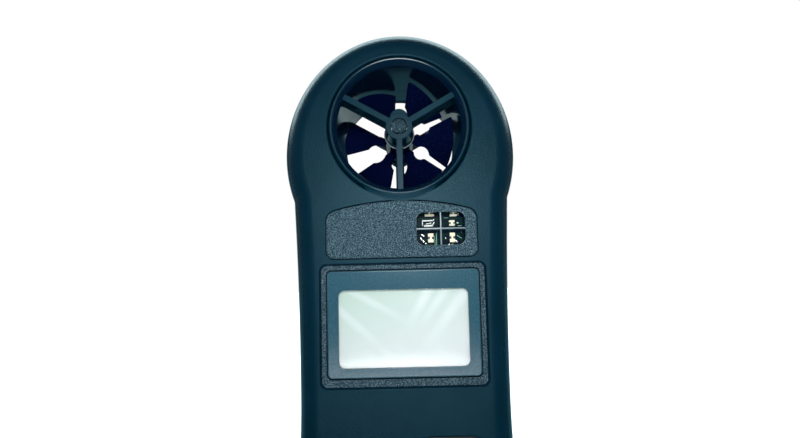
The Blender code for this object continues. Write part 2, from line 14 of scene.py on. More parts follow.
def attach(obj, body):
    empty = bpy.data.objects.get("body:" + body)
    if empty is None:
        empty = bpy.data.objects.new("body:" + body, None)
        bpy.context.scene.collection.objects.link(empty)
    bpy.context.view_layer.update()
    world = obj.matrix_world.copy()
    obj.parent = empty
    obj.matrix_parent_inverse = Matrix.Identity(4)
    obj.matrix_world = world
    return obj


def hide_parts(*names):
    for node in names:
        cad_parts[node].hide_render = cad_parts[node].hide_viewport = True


MM = 0.001
GAP = 0.3
SMOOTH_ANGLE = 32

# Shell
FRONT_Y = -16.0
BACK_Y = 16.5
PARTING_Y = 1.0
PARTING_GAP = 0.04
PARTING_GROOVE = (0.3, 0.25)
WAIST_Z = 60.0
WAIST_HALF = 26.65
ARC_ABOVE_WAIST = 1012.0
ARC_BELOW_WAIST = 251.0
FOOT_Z = 19.0
FOOT_HALF = 15.0
HEAD_Z = 123.5
HEAD_HALF = 30.0
HEAD_RISE = 32.5
NECK_Z = 111.7
FRONT_SHOULDER = (5.7, 6.2)
BACK_SHOULDER = (5.5, 6.5)
FRONT_WALL_Y = -13.0
BACK_WALL_Y = 14.0
COVER_FLOOR_Y = 15.0
WALL = 2.2
FRONT_HOLLOW = ((FRONT_WALL_Y, 4.4), (-11.5, 3.0), (-9.0, WALL), (PARTING_Y + 2, WALL))
BACK_HOLLOW = ((PARTING_Y - 2, WALL), (10.0, WALL), (12.5, 2.9), (BACK_WALL_Y, 3.8))
SHOULDER_STEPS = 14
HEAD_STEPS = 44
SIDE_STEPS = 16
FOOT_STEPS = 16

# Air duct and its guards
BORE_Z = 130.1
BORE_R = 16.0
DUCT_R = 17.6
LIP_R = 18.15
LIP_CREST_R = 17.12
LIP_FRONT_Y = -16.5
LIP_PROFILE = (
    (16.00, -14.6),
    (16.12, -14.95),
    (16.95, -16.12),
    (17.10, -16.31),
    (17.24, -16.43),
    (17.42, -16.50),
    (17.60, -16.44),
    (17.76, -16.30),
    (17.92, -16.08),
    (LIP_R, -15.6),
)
LIP_GROOVE = (
    (FRONT_Y - 1, -0.6),
    (FRONT_Y, -0.6),
    (FRONT_Y + 0.06, -0.4),
    (FRONT_Y + 0.18, -0.2),
    (FRONT_Y + 0.5, 0.0),
)
COLLAR_GAP = 0.12
FRONT_FLANGE_R = 19.6
FRONT_FLANGE_Y = (-12.7, -11.2)
JOINT_SETBACK = 0.1
FLARE_R = 18.2
FLARE_Y = 8.0
REAR_COLLAR_R = 19.6
REAR_FLANGE_R = 20.6
DUCT_STEPS = 144
FILLET_STEPS = 40
FILLET_HALF_ANGLE = 30.0
FILLET_INNER_R = LIP_CREST_R + 0.15
FILLET_REACH = 1.3
FILLET_BACK_Y = -15.9
ARM_ANGLES = (30.0, 150.0, 270.0)
FRONT_ARM = {"y": (-15.3, -10.4), "width": 2.2, "hub": 3.75, "reach": 16.7, "draft": 0.32, "bore": 2.16}
REAR_ARM = {"y": (8.0, 14.2), "width": 1.9, "hub": 4.0, "reach": 18.2, "draft": 0.3, "bore": 2.36}
CAP_R = 1.9
FRONT_CAP_Y = (-15.38, -13.3)
HUB_BOSS_R = 2.4
HUB_BOSS_RISE = 3.1
HUB_BOSS_Y = (-13.0, -10.5)
REAR_CAP_Y = (13.0, 14.3)

# Rotor
ROTOR_HUB_R = 4.1
ROTOR_HUB_Y = (-8.4, 4.6)
ROTOR_HOLE_R = 0.9
BLADES = 6
BLADE_PHASE = -6.2
BLADE_TIP_R = 15.2
BLADE_Y = -1.7
BLADE_PITCH = atan2(0.904, 1.0)
BLADE_THICKNESS = 0.9
BLADE_EDGE_R = 9.0
LEADING_EDGE = (3.975, 0.494)
TRAILING_EDGE = (2.565, 0.496)
BLADE_ROOT_R = 3.0
NOTCH_R = 2.4
NOTCH_CENTRE_R = 7.1
NOTCH_ANGLE = 35.2
BLADE_CORNER = 1.4

# Sensor panel and the board behind it
PANEL_HALF = 18.85
PANEL_Z = (96.4, 107.9)
PANEL_APEX_Z = 110.7
PANEL_Y = (-16.05, -15.1)
PANEL_LOW_CORNER = 2.1
PANEL_TOP_CORNER = 2.8
PANEL_ARCH_STEPS = 24
PANEL_GAP = 0.2
WINDOW_X = 9.85
WINDOW_Z = 103.45
WINDOW_SIZE = (12.1, 8.2)
WINDOW_CORNER = 1.7
WINDOW_BAR = 0.5
WINDOW_BAR_CORNER = 0.16
SENSOR_BOARD_X = (1.0, 18.2)
SENSOR_BOARD_Y = (-12.6, -11.6)
SENSOR_BOARD_Z = (97.4, 109.4)
PART_FOOT_Y = SENSOR_BOARD_Y[0] - 0.02
CHIP_HEIGHT = 0.6

# Chips on the board: piece name, (x from, to), (z from, to) and the CAD nodes each one replaces
CHIPS = (
    ("chip_low_left", (6.7, 8.15), (100.15, 102.55), ("sensor_chip",)),
    ("chip_low_right", (12.25, 13.65), (100.1, 102.6), ("sensor_resistor",)),
    ("chip_mid_right", (12.2, 13.65), (104.3, 105.8), ("thermistor",)),
    ("chip_top_right", (12.4, 14.3), (106.8, 108.4), ()),
    ("chip_top_left", (6.0, 8.4), (106.9, 108.5), ()),
)

# Raised strips on the board: (x, z) of both ends, half width and height
SENSOR_FRAME = (
    ((5.3, 105.8), (8.1, 105.85), 0.16, 0.5),
    ((5.7, 104.45), (8.1, 104.55), 0.26, 0.5),
    ((5.4, 104.5), (5.4, 105.7), 0.12, 0.4),
    ((6.3, 105), (7.7, 105.2), 0.1, 0.4),
    ((8, 104.7), (8.45, 105.5), 0.12, 0.4),
)
SOLDER_JOINTS = (
    ((11.05, 101.25), (11.4, 101.3), 0.24, 0.3),
    ((15.25, 102.65), (15.45, 102.7), 0.1, 0.15),
    ((13.7, 100.7), (14.3, 100.1), 0.16, 0.2),
    ((12.3, 99.8), (11.6, 99.2), 0.1, 0.15),
    ((13.1, 99.8), (12.7, 99.2), 0.1, 0.15),
    ((14.5, 107.6), (14.7, 107.3), 0.22, 0.3),
    ((12.4, 107.8), (12.7, 107.7), 0.2, 0.3),
    ((5, 102.4), (5.8, 101.8), 0.16, 0.25),
    ((4.8, 101.6), (5.2, 100.8), 0.15, 0.25),
    ((5.4, 100.9), (5.7, 100.2), 0.2, 0.3),
    ((5.9, 100.1), (6.4, 99.8), 0.18, 0.3),
    ((8.2, 106.1), (8.4, 106), 0.16, 0.3),
)
TRACES = (
    ((8.9, 102.7), (8.9, 99.3), 0.07, 0.06),
    ((8.35, 101.9), (8.55, 99.3), 0.06, 0.06),
    ((14.2, 105.2), (14.7, 105.1), 0.2, 0.06),
    ((14.4, 104.4), (15.5, 104.4), 0.06, 0.06),
    ((12, 103.8), (14.7, 103.9), 0.06, 0.06),
    ((14.2, 101.9), (15.4, 101.1), 0.08, 0.06),
    ((11, 106.5), (12.1, 106.5), 0.05, 0.06),
    ((6.2, 99.4), (9.4, 99.3), 0.05, 0.06),
)

# Display
FRAME_HALF = 20.8
FRAME_Z = (64.4, 95.1)
FRAME_CORNER = 1.8
LENS_HALF = 18.95
LENS_Z = (66.9, 93.3)
LENS_Y = (-15.3, -14.3)
LENS_CORNER = 1.1
LENS_GAP = 0.32
LEDGE_Y = -15.0
WELL_Y = -14.0
TRAY_SLOPE = (
    (FRONT_Y - 0.5, -0.2),
    (FRONT_Y, -0.17),
    (FRONT_Y + 0.06, -0.02),
    (FRONT_Y + 0.2, 0.1),
    (LEDGE_Y - 0.2, 0.3),
    (LEDGE_Y - 0.05, 0.4),
    (LEDGE_Y, 0.55),
)
GLASS_HALF = 16.2
GLASS_Z = (69.3, 88.5)
GLASS_CORNER = 1.5
PANE_GAP = 0.02
PANE_Y = (LENS_Y[0] + 0.05, LENS_Y[0] + 0.7)
LCD_HALF = 17.6
LCD_Z = (68.2, 89.4)
LCD_Y = (-13.9, -11.0)
VIEW_HALF = 17.9
VIEW_Z = (67.9, 89.7)

LCD_GREEN = (0.60, 0.69, 0.61)
LCD_PALE = (0.89, 0.84, 0.85)
LCD_STREAK = (0.94, 0.92, 0.92)

# Streaks in the display's film: (x, z) of both ends, half width and strength
LCD_STREAKS = (
    ((-17.0, 84.4), (-2.5, 71.2), 1.4, 0.5),
    ((-14.0, 88.8), (3.0, 79.2), 1.3, 0.45),
    ((6.8, 89.0), (0.5, 78.0), 1.7, 0.6),
    ((11.2, 89.0), (2.5, 77.0), 1.4, 0.5),
    ((16.4, 88.6), (3.5, 71.5), 1.9, 0.65),
)

# Keys
KEY_CENTRES = {
    "key_power": (-11.0, 48.0),
    "key_hold": (11.0, 48.0),
    "key_record": (-11.0, 31.0),
    "key_unit": (11.0, 31.0),
}
KEY_SIZE = (15.0, 9.0)
KEY_CORNER = 3.0
KEY_SLOT = 0.35
KEY_FLANGE = 1.0
KEY_DOME = (
    (-16.5, 2.8),
    (-16.47, 2.2),
    (-16.4, 1.5),
    (-16.28, 0.8),
    (-16.1, 0.35),
    (-15.8, 0.08),
    (-15.4, 0.0),
    (-12.2, 0.0),
)

# Battery cover, base socket and screws
BAY_HALF = 14.2
BAY_Z = (12.9, 67.0)
BAY_Y = -4.9
BAY_WALL = 1.2
COVER_HALF = 16.5
COVER_Z = (9.5, 70.5)
COVER_CORNER = 2.0
GRIP_HALF = 7.0
GRIP_LOW_Z = 58.0
GRIP_PITCH = 2.0
GRIP_WIDTH = 0.9
GRIP_DEPTH = 0.6
GRIPS = 5
SOCKET_HALF = 8.2
SOCKET_Y = (-4.0, 4.5)
SOCKET_GAP = 0.4
SOCKET_HOLE_Z = (-1.0, 3.5)
BOSSES = ((-21.5, 104.0), (21.5, 104.0), (-21.5, 14.5), (21.5, 14.5))
BOSS_R = 2.9
SCREW_R = 1.1
SCREW_HEAD_R = 2.4
SCREW_LEDGE_Y = 3.2
SCREW_END_Y = -9.0

# Stage: the floor's top and underside lie this deep under the base; patch and key light are in metres
WHITE_LIGHT = (1.0, 1.0, 1.0, 1.0)
SOURCE_COLOUR = (0.79, 0.99, 1.0, 1.0)
SHADE_COLOUR = (0.10, 0.55, 1.0, 1.0)
SHADE_STRENGTH = 0.045
FLOOR_R = 4000.0
FLOOR_DEPTH = (0.05, 2.0)
FLOOR_SHADE = (0.06, 0.20, 0.25, 1.0)
FLOOR_GLOW = 0.75
PATCH_CENTRE = (0.0, -0.33, 0.0)
PATCH_RADII = (0.07, 0.15)
PATCH_STRENGTH = 8.0
KEY_LIGHT_PLACE = (0.003, -0.16, 0.134)
KEY_LIGHT_TARGET = (0.002, -0.016, 0.092)
KEY_LIGHT_SIZE = 0.05
KEY_LIGHT_POWER = 0.043
KEY_LIGHT_SPREAD = 90
CAMERA_PLACE = (-0.05, -132.27, 90.89)
CAMERA_TURN = (4.49, 0.21, -1.37)
CAMERA_LENS = 21.04
CAMERA_SHIFT = 0.03

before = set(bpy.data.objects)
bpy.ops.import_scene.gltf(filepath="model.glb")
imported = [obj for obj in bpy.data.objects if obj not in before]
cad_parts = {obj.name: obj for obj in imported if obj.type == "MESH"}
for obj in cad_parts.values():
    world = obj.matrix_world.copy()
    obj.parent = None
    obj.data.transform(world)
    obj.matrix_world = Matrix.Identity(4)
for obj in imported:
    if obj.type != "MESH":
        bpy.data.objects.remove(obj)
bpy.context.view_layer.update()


# Node materials

NO_TINT = (1.0, 1.0, 1.0)


def node(tree, kind, inputs=(), **settings):
    """Add a shader node; an input given as a socket is linked, any other value is set."""
    made = tree.nodes.new("ShaderNode" + kind)
    for key, value in settings.items():
        setattr(made, key, value)
    for key, value in dict(inputs).items():
        if isinstance(value, bpy.types.NodeSocket):
            tree.links.new(value, made.inputs[key])
        else:
            made.inputs[key].default_value = value
    return made


def noise(tree, scale, detail=2.0, roughness=0.5, stretch=(1.0, 1.0, 1.0)):
    """Noise value over object coordinates, with features about 1/scale metres long."""
    place = node(tree, "TexCoord").outputs["Object"]
    mapped = node(tree, "Mapping", {"Vector": place, "Scale": stretch}).outputs["Vector"]
    settings = {"Vector": mapped, "Scale": scale, "Detail": detail, "Roughness": roughness}
    return node(tree, "TexNoise", settings).outputs["Fac"]


def remap(tree, value, low, high, to_low=0.0, to_high=1.0):
    inputs = {"Value": value, "From Min": low, "From Max": high, "To Min": to_low, "To Max": to_high}
    return node(tree, "MapRange", inputs).outputs["Result"]


def blend_colours(tree, factor, first, second):
    made = node(tree, "Mix", {0: factor, 6: (*first, 1.0), 7: (*second, 1.0)}, data_type="RGBA")
    return made.outputs[2]


def bump(tree, height, depth, under=None):
    """Bump of a given depth in millimetres, on top of another bump if there is one."""
    made = node(tree, "Bump", {"Height": height, "Distance": depth * MM, "Strength": 1.0})
    if under is not None:
        tree.links.new(under, made.inputs["Normal"])
    return made.outputs["Normal"]


def start_material(name, colour):
    """A new material's tree and its Principled shader."""
    made = bpy.data.materials.new(name)
    made.use_nodes = True
    made.diffuse_color = (*colour, 1.0)
    return made, made.node_tree, made.node_tree.nodes["Principled BSDF"]


def feed(tree, shader, **inputs):
    """Set or link inputs of the Principled shader by their names with underscores for spaces."""
    for key, value in inputs.items():
        socket = shader.inputs[key.replace("_", " ")]
        if isinstance(value, bpy.types.NodeSocket):
            tree.links.new(value, socket)
        else:
            socket.default_value = value


def at_edge(tree, facing, grazing, start=0.45):
    """A value that changes from its facing amount to another where the surface turns away."""
    turned = node(tree, "LayerWeight", {"Blend": 0.5}).outputs["Facing"]
    return remap(tree, turned, start, 0.95, facing, grazing)


def moulded(name, dark, light, roughness, grain, depth, specular=0.5, edge_specular=None, tint=NO_TINT):
    """Moulded plastic or rubber: cloudy colour, a fine grain and uneven gloss.

    Grain is the size of the grain and depth its height, in millimetres. With edge_specular the surface
    also gets smoother, and its reflection goes to that strength, where it turns away from view.
    """
    made, tree, shader = start_material(name, light)
    clouds = remap(tree, noise(tree, 90.0, 4.0), 0.35, 0.65)
    fine = noise(tree, 1000.0 / grain, 2.0)
    colour = blend_colours(tree, clouds, dark, light)
    gloss = remap(tree, fine, 0.3, 0.7, roughness - 0.05, roughness + 0.06)
    relief = bump(tree, noise(tree, 120.0, 1.0), 0.02)
    if edge_specular is not None:
        specular = at_edge(tree, specular, edge_specular)
        smoother = at_edge(tree, 1.0, 0.25, 0.2)
        gloss = node(tree, "Math", {0: gloss, 1: smoother}, operation="MULTIPLY").outputs[0]
    feed(tree, shader, Base_Color=colour, Roughness=gloss, Normal=bump(tree, fine, depth, under=relief))
    feed(tree, shader, Specular_IOR_Level=specular, Specular_Tint=(*tint, 1.0))
    return made


def spark_grain(name, dark, light, roughness, grain, depth, specular=0.5):
    """Spark-eroded texture: short wandering ridges whose tops are paler and glossier than the pits."""
    made, tree, shader = start_material(name, light)
    coarse = noise(tree, 1000.0 / grain, 2.5, 0.6)
    fine = noise(tree, 2200.0 / grain, 1.0)
    tops = remap(tree, coarse, 0.46, 0.68)
    colour = blend_colours(tree, tops, dark, light)
    gloss = remap(tree, coarse, 0.35, 0.65, roughness + 0.1, roughness - 0.08)
    relief = bump(tree, fine, depth * 0.3)
    normal = bump(tree, tops, depth, under=relief)
    feed(tree, shader, Base_Color=colour, Roughness=gloss, Specular_IOR_Level=specular, Normal=normal)
    return made


def metal(name, dark, light, roughness):
    """Turned or plated metal with fine scratches along one way."""
    made, tree, shader = start_material(name, light)
    scratches = noise(tree, 900.0, 3.0, stretch=(1.0, 12.0, 1.0))
    colour = blend_colours(tree, remap(tree, scratches, 0.3, 0.7), dark, light)
    gloss = remap(tree, scratches, 0.3, 0.7, roughness - 0.06, roughness + 0.1)
    feed(tree, shader, Base_Color=colour, Roughness=gloss, Metallic=1.0, Normal=bump(tree, scratches, 0.01))
    return made


def streak(tree, place, start, end, half_width, strength):
    """Soft straight band between two points given as (x, z) in millimetres, fading at its far end."""
    run = Vector((end[0] - start[0], 0.0, end[1] - start[1]))
    along = run.normalized()
    across = Vector((along.z, 0.0, -along.x))
    offset = Vector((start[0], 0.0, start[1])) * MM
    local = node(tree, "VectorMath", {0: place, 1: offset}, operation="SUBTRACT").outputs["Vector"]
    side = node(tree, "VectorMath", {0: local, 1: across}, operation="DOT_PRODUCT").outputs["Value"]
    far = node(tree, "VectorMath", {0: local, 1: along}, operation="DOT_PRODUCT").outputs["Value"]
    off = node(tree, "Math", {0: side}, operation="ABSOLUTE").outputs[0]
    band = remap(tree, off, half_width * MM, half_width * MM * 0.3, 0.0, strength)
    fade = remap(tree, far, run.length * MM, run.length * MM * 0.4)
    return node(tree, "Math", {0: band, 1: fade}, operation="MULTIPLY").outputs[0]


def lcd_face(name):
    """Pale silver-green polariser: greener at the top left, with faint slanting streaks and speckle."""
    made, tree, shader = start_material(name, (0.75, 0.85, 0.82))
    place = node(tree, "TexCoord").outputs["Object"]
    slant = (8.0, 0.0, -30.0)
    along = node(tree, "VectorMath", {0: place, 1: slant}, operation="DOT_PRODUCT").outputs["Value"]
    wash = remap(tree, along, -2.77, -2.1)
    tone = blend_colours(tree, wash, LCD_GREEN, LCD_PALE)
    total = 0.0
    for start, end, half_width, strength in LCD_STREAKS:
        band = streak(tree, place, start, end, half_width, strength)
        total = node(tree, "Math", {0: total, 1: band}, operation="ADD").outputs[0]
    pale = node(tree, "Mix", {0: total, 6: tone, 7: (*LCD_STREAK, 1.0)}, data_type="RGBA").outputs[2]
    speckle = noise(tree, 6000.0, 1.0)
    gloss = remap(tree, speckle, 0.3, 0.7, 0.32, 0.42)
    feed(tree, shader, Base_Color=pale, Roughness=gloss, Normal=bump(tree, speckle, 0.004))
    return made


def clear_pane(name):
    """Thin clear plastic: see-through with a reflection that grows towards grazing angles."""
    made, tree, shader = start_material(name, (0.9, 0.95, 0.95))
    haze = remap(tree, noise(tree, 200.0, 3.0), 0.3, 0.7, 0.04, 0.12)
    relief = bump(tree, noise(tree, 150.0, 1.0), 0.004)
    through = node(tree, "BsdfTransparent", {"Color": (0.97, 0.985, 0.98, 1.0)})
    mirror = node(tree, "BsdfAnisotropic", {"Roughness": haze, "Normal": relief})
    turned = node(tree, "LayerWeight", {"Blend": 0.5}).outputs["Facing"]
    steep = node(tree, "Math", {0: turned, 1: 5.0}, operation="POWER").outputs[0]
    share = remap(tree, steep, 0.0, 1.0, 0.035, 1.0)
    mixed = node(tree, "MixShader", {0: share, 1: through.outputs[0], 2: mirror.outputs[0]})
    output = tree.nodes["Material Output"]
    tree.nodes.remove(shader)
    tree.links.new(mixed.outputs[0], output.inputs["Surface"])
    return made


def circuit_board(name):
    """Very dark blue solder mask with a pattern of greener traces showing through it."""
    made, tree, shader = start_material(name, (0.02, 0.12, 0.07))
    place = node(tree, "TexCoord").outputs["Object"]
    upright = node(tree, "Mapping", {"Vector": place, "Rotation": (radians(90), 0, 0)}).outputs["Vector"]
    pattern = {"Scale": 260.0, "Mortar Size": 0.06, "Brick Width": 0.8, "Row Height": 0.35}
    bricks = node(tree, "TexBrick", {"Vector": upright, **pattern})
    weave = noise(tree, 700.0, 2.0)
    base = blend_colours(tree, weave, (0.0004, 0.0040, 0.016), (0.0008, 0.010, 0.024))
    traces = (0.001, 0.022, 0.018, 1.0)
    mixed = node(tree, "Mix", {0: bricks.outputs["Fac"], 6: base, 7: traces}, data_type="RGBA")
    feed(tree, shader, Base_Color=mixed.outputs[2], Roughness=0.3, Specular_IOR_Level=0.02)
    feed(tree, shader, Normal=bump(tree, bricks.outputs["Fac"], 0.03))
    return made


SHELL = moulded(
    "look_shell_teal", (0.0005, 0.0140, 0.027), (0.0009, 0.0175, 0.033), roughness=0.34,
    grain=0.27, depth=0.06, specular=0.17, edge_specular=1.0, tint=(0.46, 0.87, 1.0),
)
# Glossy navy of the duct wall, darker than the guard's own plastic: partly painted shade inside the duct
# and on the lip's inner slope.
DUCT_NAVY_AND_SHADE = moulded(
    "look_duct_navy_and_painted_shade", (0.0009, 0.0090, 0.024), (0.0013, 0.0115, 0.029), roughness=0.14,
    grain=0.5, depth=0.001, specular=0.4, tint=(0.75, 0.9, 1.0),
)
CREST = moulded("look_lip_crest", (0.0025, 0.024, 0.040), (0.0035, 0.029, 0.046), 0.2, 0.5, 0.004, 1.0)
# The rear guard's own matte plastic; on the front lip's outer flank the same colour is painted shade in the
# groove beside the shell.
REAR_GUARD_AND_SHADE = moulded("look_rear_guard_and_painted_shade", (0.0009, 0.016, 0.031), (0.0014, 0.020, 0.037), 0.5, 0.25, 0.014, 0.04)
GUARD = moulded(
    "look_guard_teal", (0.0036, 0.028, 0.044), (0.0052, 0.035, 0.054), roughness=0.38,
    grain=0.25, depth=0.014, specular=0.08, edge_specular=0.3,
)
CAP = spark_grain("look_cap_teal", (0.001, 0.012, 0.020), (0.050, 0.115, 0.145), 0.45, 0.36, 0.03, 0.1)
PANEL = spark_grain("look_panel_grain", (0.004, 0.026, 0.042), (0.19, 0.29, 0.345), 0.42, 0.25, 0.08, 0.12)
LEDGE = spark_grain("look_ledge_grain", (0.002, 0.020, 0.034), (0.16, 0.25, 0.30), 0.38, 0.21, 0.07, 0.25)
LENS = spark_grain("look_lens_print", (0.016, 0.070, 0.104), (0.039, 0.117, 0.158), 0.16, 0.2, 0.003, 0.35)
# Paler than the lens plate: a painted highlight along the plate's rounded edge.
LENS_EDGE_HIGHLIGHT = moulded("look_lens_rim_painted_highlight", (0.045, 0.110, 0.145), (0.075, 0.150, 0.190), 0.2, 0.5, 0.002, 1.0)
BAR = moulded("look_window_bar", (0.050, 0.095, 0.118), (0.075, 0.120, 0.145), 0.3, 0.3, 0.005, 0.6)
TRACE = moulded("look_trace_green", (0.10, 0.42, 0.28), (0.30, 0.62, 0.45), 0.35, 0.3, 0.004)
PANE = clear_pane("look_lens_clear")
LCD = lcd_face("look_lcd_polariser")
BLADE = moulded(
    "look_blade_navy", (0.0008, 0.0030, 0.024), (0.0012, 0.0042, 0.032), roughness=0.25,
    grain=0.8, depth=0.003, specular=0.1, edge_specular=0.0,
)
# Pale grey painted highlight: the thin bright arc on the rotor hub's front rim is painted into this colour.
ROTOR_RIM_HIGHLIGHT = moulded("look_rotor_rim_painted_highlight", (0.22, 0.29, 0.33), (0.36, 0.43, 0.47), 0.2, 0.5, 0.001, 1.0)
HUB_FACE = moulded("look_rotor_hub", (0.0030, 0.018, 0.028), (0.0045, 0.026, 0.038), 0.4, 0.5, 0.004, 0.15)
# Black plastic of the real parts; on the board's chips the same colour is also painted shade beside their
# narrow waists.
BLACK_PLASTIC_AND_SHADE = moulded("look_black_plastic_and_painted_shade", (0.008, 0.009, 0.010), (0.014, 0.015, 0.017), 0.45, 0.3, 0.01)
RUBBER = moulded("look_key_rubber", (0.055, 0.068, 0.078), (0.075, 0.090, 0.100), 0.62, 0.25, 0.02)
BOARD = circuit_board("look_solder_mask")
STEEL = metal("look_bright_steel", (0.42, 0.43, 0.44), (0.62, 0.62, 0.62), 0.28)
BRASS = metal("look_contact_brass", (0.55, 0.40, 0.18), (0.75, 0.58, 0.28), 0.3)
SOLDER = metal("look_solder", (0.75, 0.75, 0.72), (0.95, 0.95, 0.92), 0.25)
CREAM = moulded("look_ceramic_cream", (0.80, 0.70, 0.45), (0.95, 0.90, 0.72), 0.4, 0.2, 0.01)
WHITE = moulded("look_white_plastic", (0.80, 0.82, 0.82), (0.95, 0.95, 0.93), 0.4, 0.3, 0.01)
JACKET = metal("look_battery_jacket", (0.20, 0.21, 0.23), (0.38, 0.39, 0.41), 0.3)


# Mesh helpers


def register(name, bm, look=None):
    """Make a scene object from a bmesh whose coordinates are in millimetres."""
    bmesh.ops.recalc_face_normals(bm, faces=bm.faces)
    bmesh.ops.scale(bm, vec=Vector((MM, MM, MM)), verts=bm.verts)
    mesh = bpy.data.meshes.new(name)
    bm.to_mesh(mesh)
    bm.free()
    made = bpy.data.objects.new(name, mesh)
    if look is not None:
        mesh.materials.append(look)
    bpy.context.scene.collection.objects.link(made)
    return made


def loft(name, rings, look=None, closed=False):
    """Skin between rings of equally many points, capped at both ends or joined round."""
    bm = bmesh.new()
    loops = [[bm.verts.new(point) for point in ring] for ring in rings]
    pairs = list(zip(loops, loops[1:]))
    if closed:
        pairs.append((loops[-1], loops[0]))
    else:
        bm.faces.new(loops[0])
        bm.faces.new(loops[-1])
    for lower, upper in pairs:
        for i in range(len(lower)):
            j = (i + 1) % len(lower)
            bm.faces.new((lower[i], lower[j], upper[j], upper[i]))
    return register(name, bm, look)


def inset(outline, distance):
    """Move every point of an anticlockwise outline inwards along its own normal."""
    moved = []
    count = len(outline)
    for i in range(count):
        before = outline[i - 1]
        after = outline[(i + 1) % count]
        along = (after[0] - before[0], after[1] - before[1])
        length = hypot(*along)
        x, z = outline[i]
        moved.append((x - distance * along[1] / length, z + distance * along[0] / length))
    return moved


def stack(name, outline, levels, look=None):
    """Loft an outline in X and Z through (y, inset) levels."""
    rings = [[(x, y, z) for x, z in inset(outline, distance)] for y, distance in levels]
    return loft(name, rings, look)


def prism(name, outline, span, look=None):
    return stack(name, outline, [(span[0], 0.0), (span[1], 0.0)], look)


def circle(radius, centre, steps):
    turns = [2 * pi * i / steps for i in range(steps)]
    return [(centre[0] + radius * cos(a), centre[1] + radius * sin(a)) for a in turns]


def disc(name, radius, span, centre, steps=32):
    return prism(name, circle(radius, centre, steps), span)


def lathe(name, profile, centre, steps, look=None):
    """Turn a closed profile of (radius, y) round an axis along Y."""
    rings = [[(x, y, z) for x, z in circle(radius, centre, steps)] for radius, y in profile]
    return loft(name, rings, look, closed=True)


def round_corners(points, radii, steps=6):
    """Replace each corner of an anticlockwise polygon by an arc of the radius given for it."""
    outline = []
    for i, corner in enumerate(points):
        if radii[i] == 0:
            outline.append(corner)
            continue
        here = Vector(corner)
        back = (Vector(points[i - 1]) - here).normalized()
        ahead = (Vector(points[(i + 1) % len(points)]) - here).normalized()
        half = acos(max(-1.0, min(1.0, back.dot(ahead)))) / 2
        centre = here + (back + ahead).normalized() * radii[i] / sin(half)
        start = here + back * radii[i] / tan(half) - centre
        sweep = pi - 2 * half
        turn = 1 if back.x * ahead.y - back.y * ahead.x < 0 else -1
        for k in range(steps + 1):
            angle = turn * sweep * k / steps
            outline.append((
                centre.x + start.x * cos(angle) - start.y * sin(angle),
                centre.y + start.x * sin(angle) + start.y * cos(angle),
            ))
    return outline


def rectangle(x_span, z_span, radius=0.0, steps=6):
    (left, right), (low, high) = x_span, z_span
    corners = [(left, low), (right, low), (right, high), (left, high)]
    return round_corners(corners, [radius] * 4, steps)


def box(name, x_span, y_span, z_span, look=None, radius=0.0):
    return prism(name, rectangle(x_span, z_span, radius), y_span, look)


def combine(target, tool, operation):
    """Apply an exact Boolean to the target and drop the tool."""
    modifier = target.modifiers.new(operation.title(), "BOOLEAN")
    modifier.operation = operation
    modifier.solver = "EXACT"
    modifier.object = tool
    bpy.context.view_layer.update()
    graph = bpy.context.evaluated_depsgraph_get()
    mesh = bpy.data.meshes.new_from_object(target.evaluated_get(graph))
    target.modifiers.clear()
    target.data = mesh
    bpy.data.objects.remove(tool)


def cut(target, tool):
    combine(target, tool, "DIFFERENCE")


def join(target, tool):
    combine(target, tool, "UNION")


def both_ways(value):
    return (-value, value)


def widen(span, by):
    return (span[0] - by, span[1] + by)


def rounded_edge(face_y, radius, steps=4, inwards=1):
    """(y, inset) levels of a small round running from a face to the side wall."""
    levels = []
    for i in range(steps + 1):
        angle = pi / 2 * i / steps
        levels.append((face_y + inwards * radius * (1 - cos(angle)), radius * (1 - sin(angle))))
    return levels


def edge_break(face_y, width, inwards=1):
    """(y, inset) levels of a cutter that opens outwards by a small round at the surface it cuts."""
    outside = face_y - inwards * 1.0
    middle = (face_y + inwards * 0.3 * width, -0.3 * width)
    return [(outside, -width), (face_y, -width), middle, (face_y + inwards * width, 0.0)]


def place(piece, body, slot, *nodes):
    """Shade a finished piece and hand it to the frame in place of the CAD nodes named."""
    piece.data.shade_smooth()
    piece.data.set_sharp_from_angle(angle=radians(SMOOTH_ANGLE))
    normals = piece.modifiers.new("Normals", "WEIGHTED_NORMAL")
    normals.keep_sharp = True
    normals.weight = 90
    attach(piece, body)
    if nodes:
        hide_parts(*nodes)
    return piece


def paint(piece, look, chosen):
    """Give a further material to the faces whose centre, in millimetres, and normal are chosen."""
    index = len(piece.data.materials)
    piece.data.materials.append(look)
    for face in piece.data.polygons:
        if chosen(face.center / MM, face.normal):
            face.material_index = index


# Shell


def side_half(z):
    arc = ARC_ABOVE_WAIST if z > WAIST_Z else ARC_BELOW_WAIST
    return WAIST_HALF + (z - WAIST_Z) ** 2 / (2 * arc)


def body_outline():
    """Anticlockwise outline of the shell from the base's middle up the right side and down the left."""
    right = [(0.0, 0.0)]
    reach = side_half(FOOT_Z) - FOOT_HALF
    for i in range(FOOT_STEPS + 1):
        angle = pi / 2 * i / FOOT_STEPS
        right.append((FOOT_HALF + reach * sin(angle), FOOT_Z * (1 - cos(angle))))
    for i in range(1, SIDE_STEPS):
        z = FOOT_Z + (NECK_Z - FOOT_Z) * i / SIDE_STEPS
        right.append((side_half(z), z))
    start = -acos(sqrt(1 - ((HEAD_Z - NECK_Z) / HEAD_RISE) ** 2))
    for i in range(HEAD_STEPS + 1):
        angle = start + (pi / 2 - start) * i / HEAD_STEPS
        right.append((HEAD_HALF * cos(angle), HEAD_Z + HEAD_RISE * sin(angle)))
    left = [(-x, z) for x, z in right[-2:0:-1]]
    return right[:-1] + [(0.0, right[-1][1])] + left


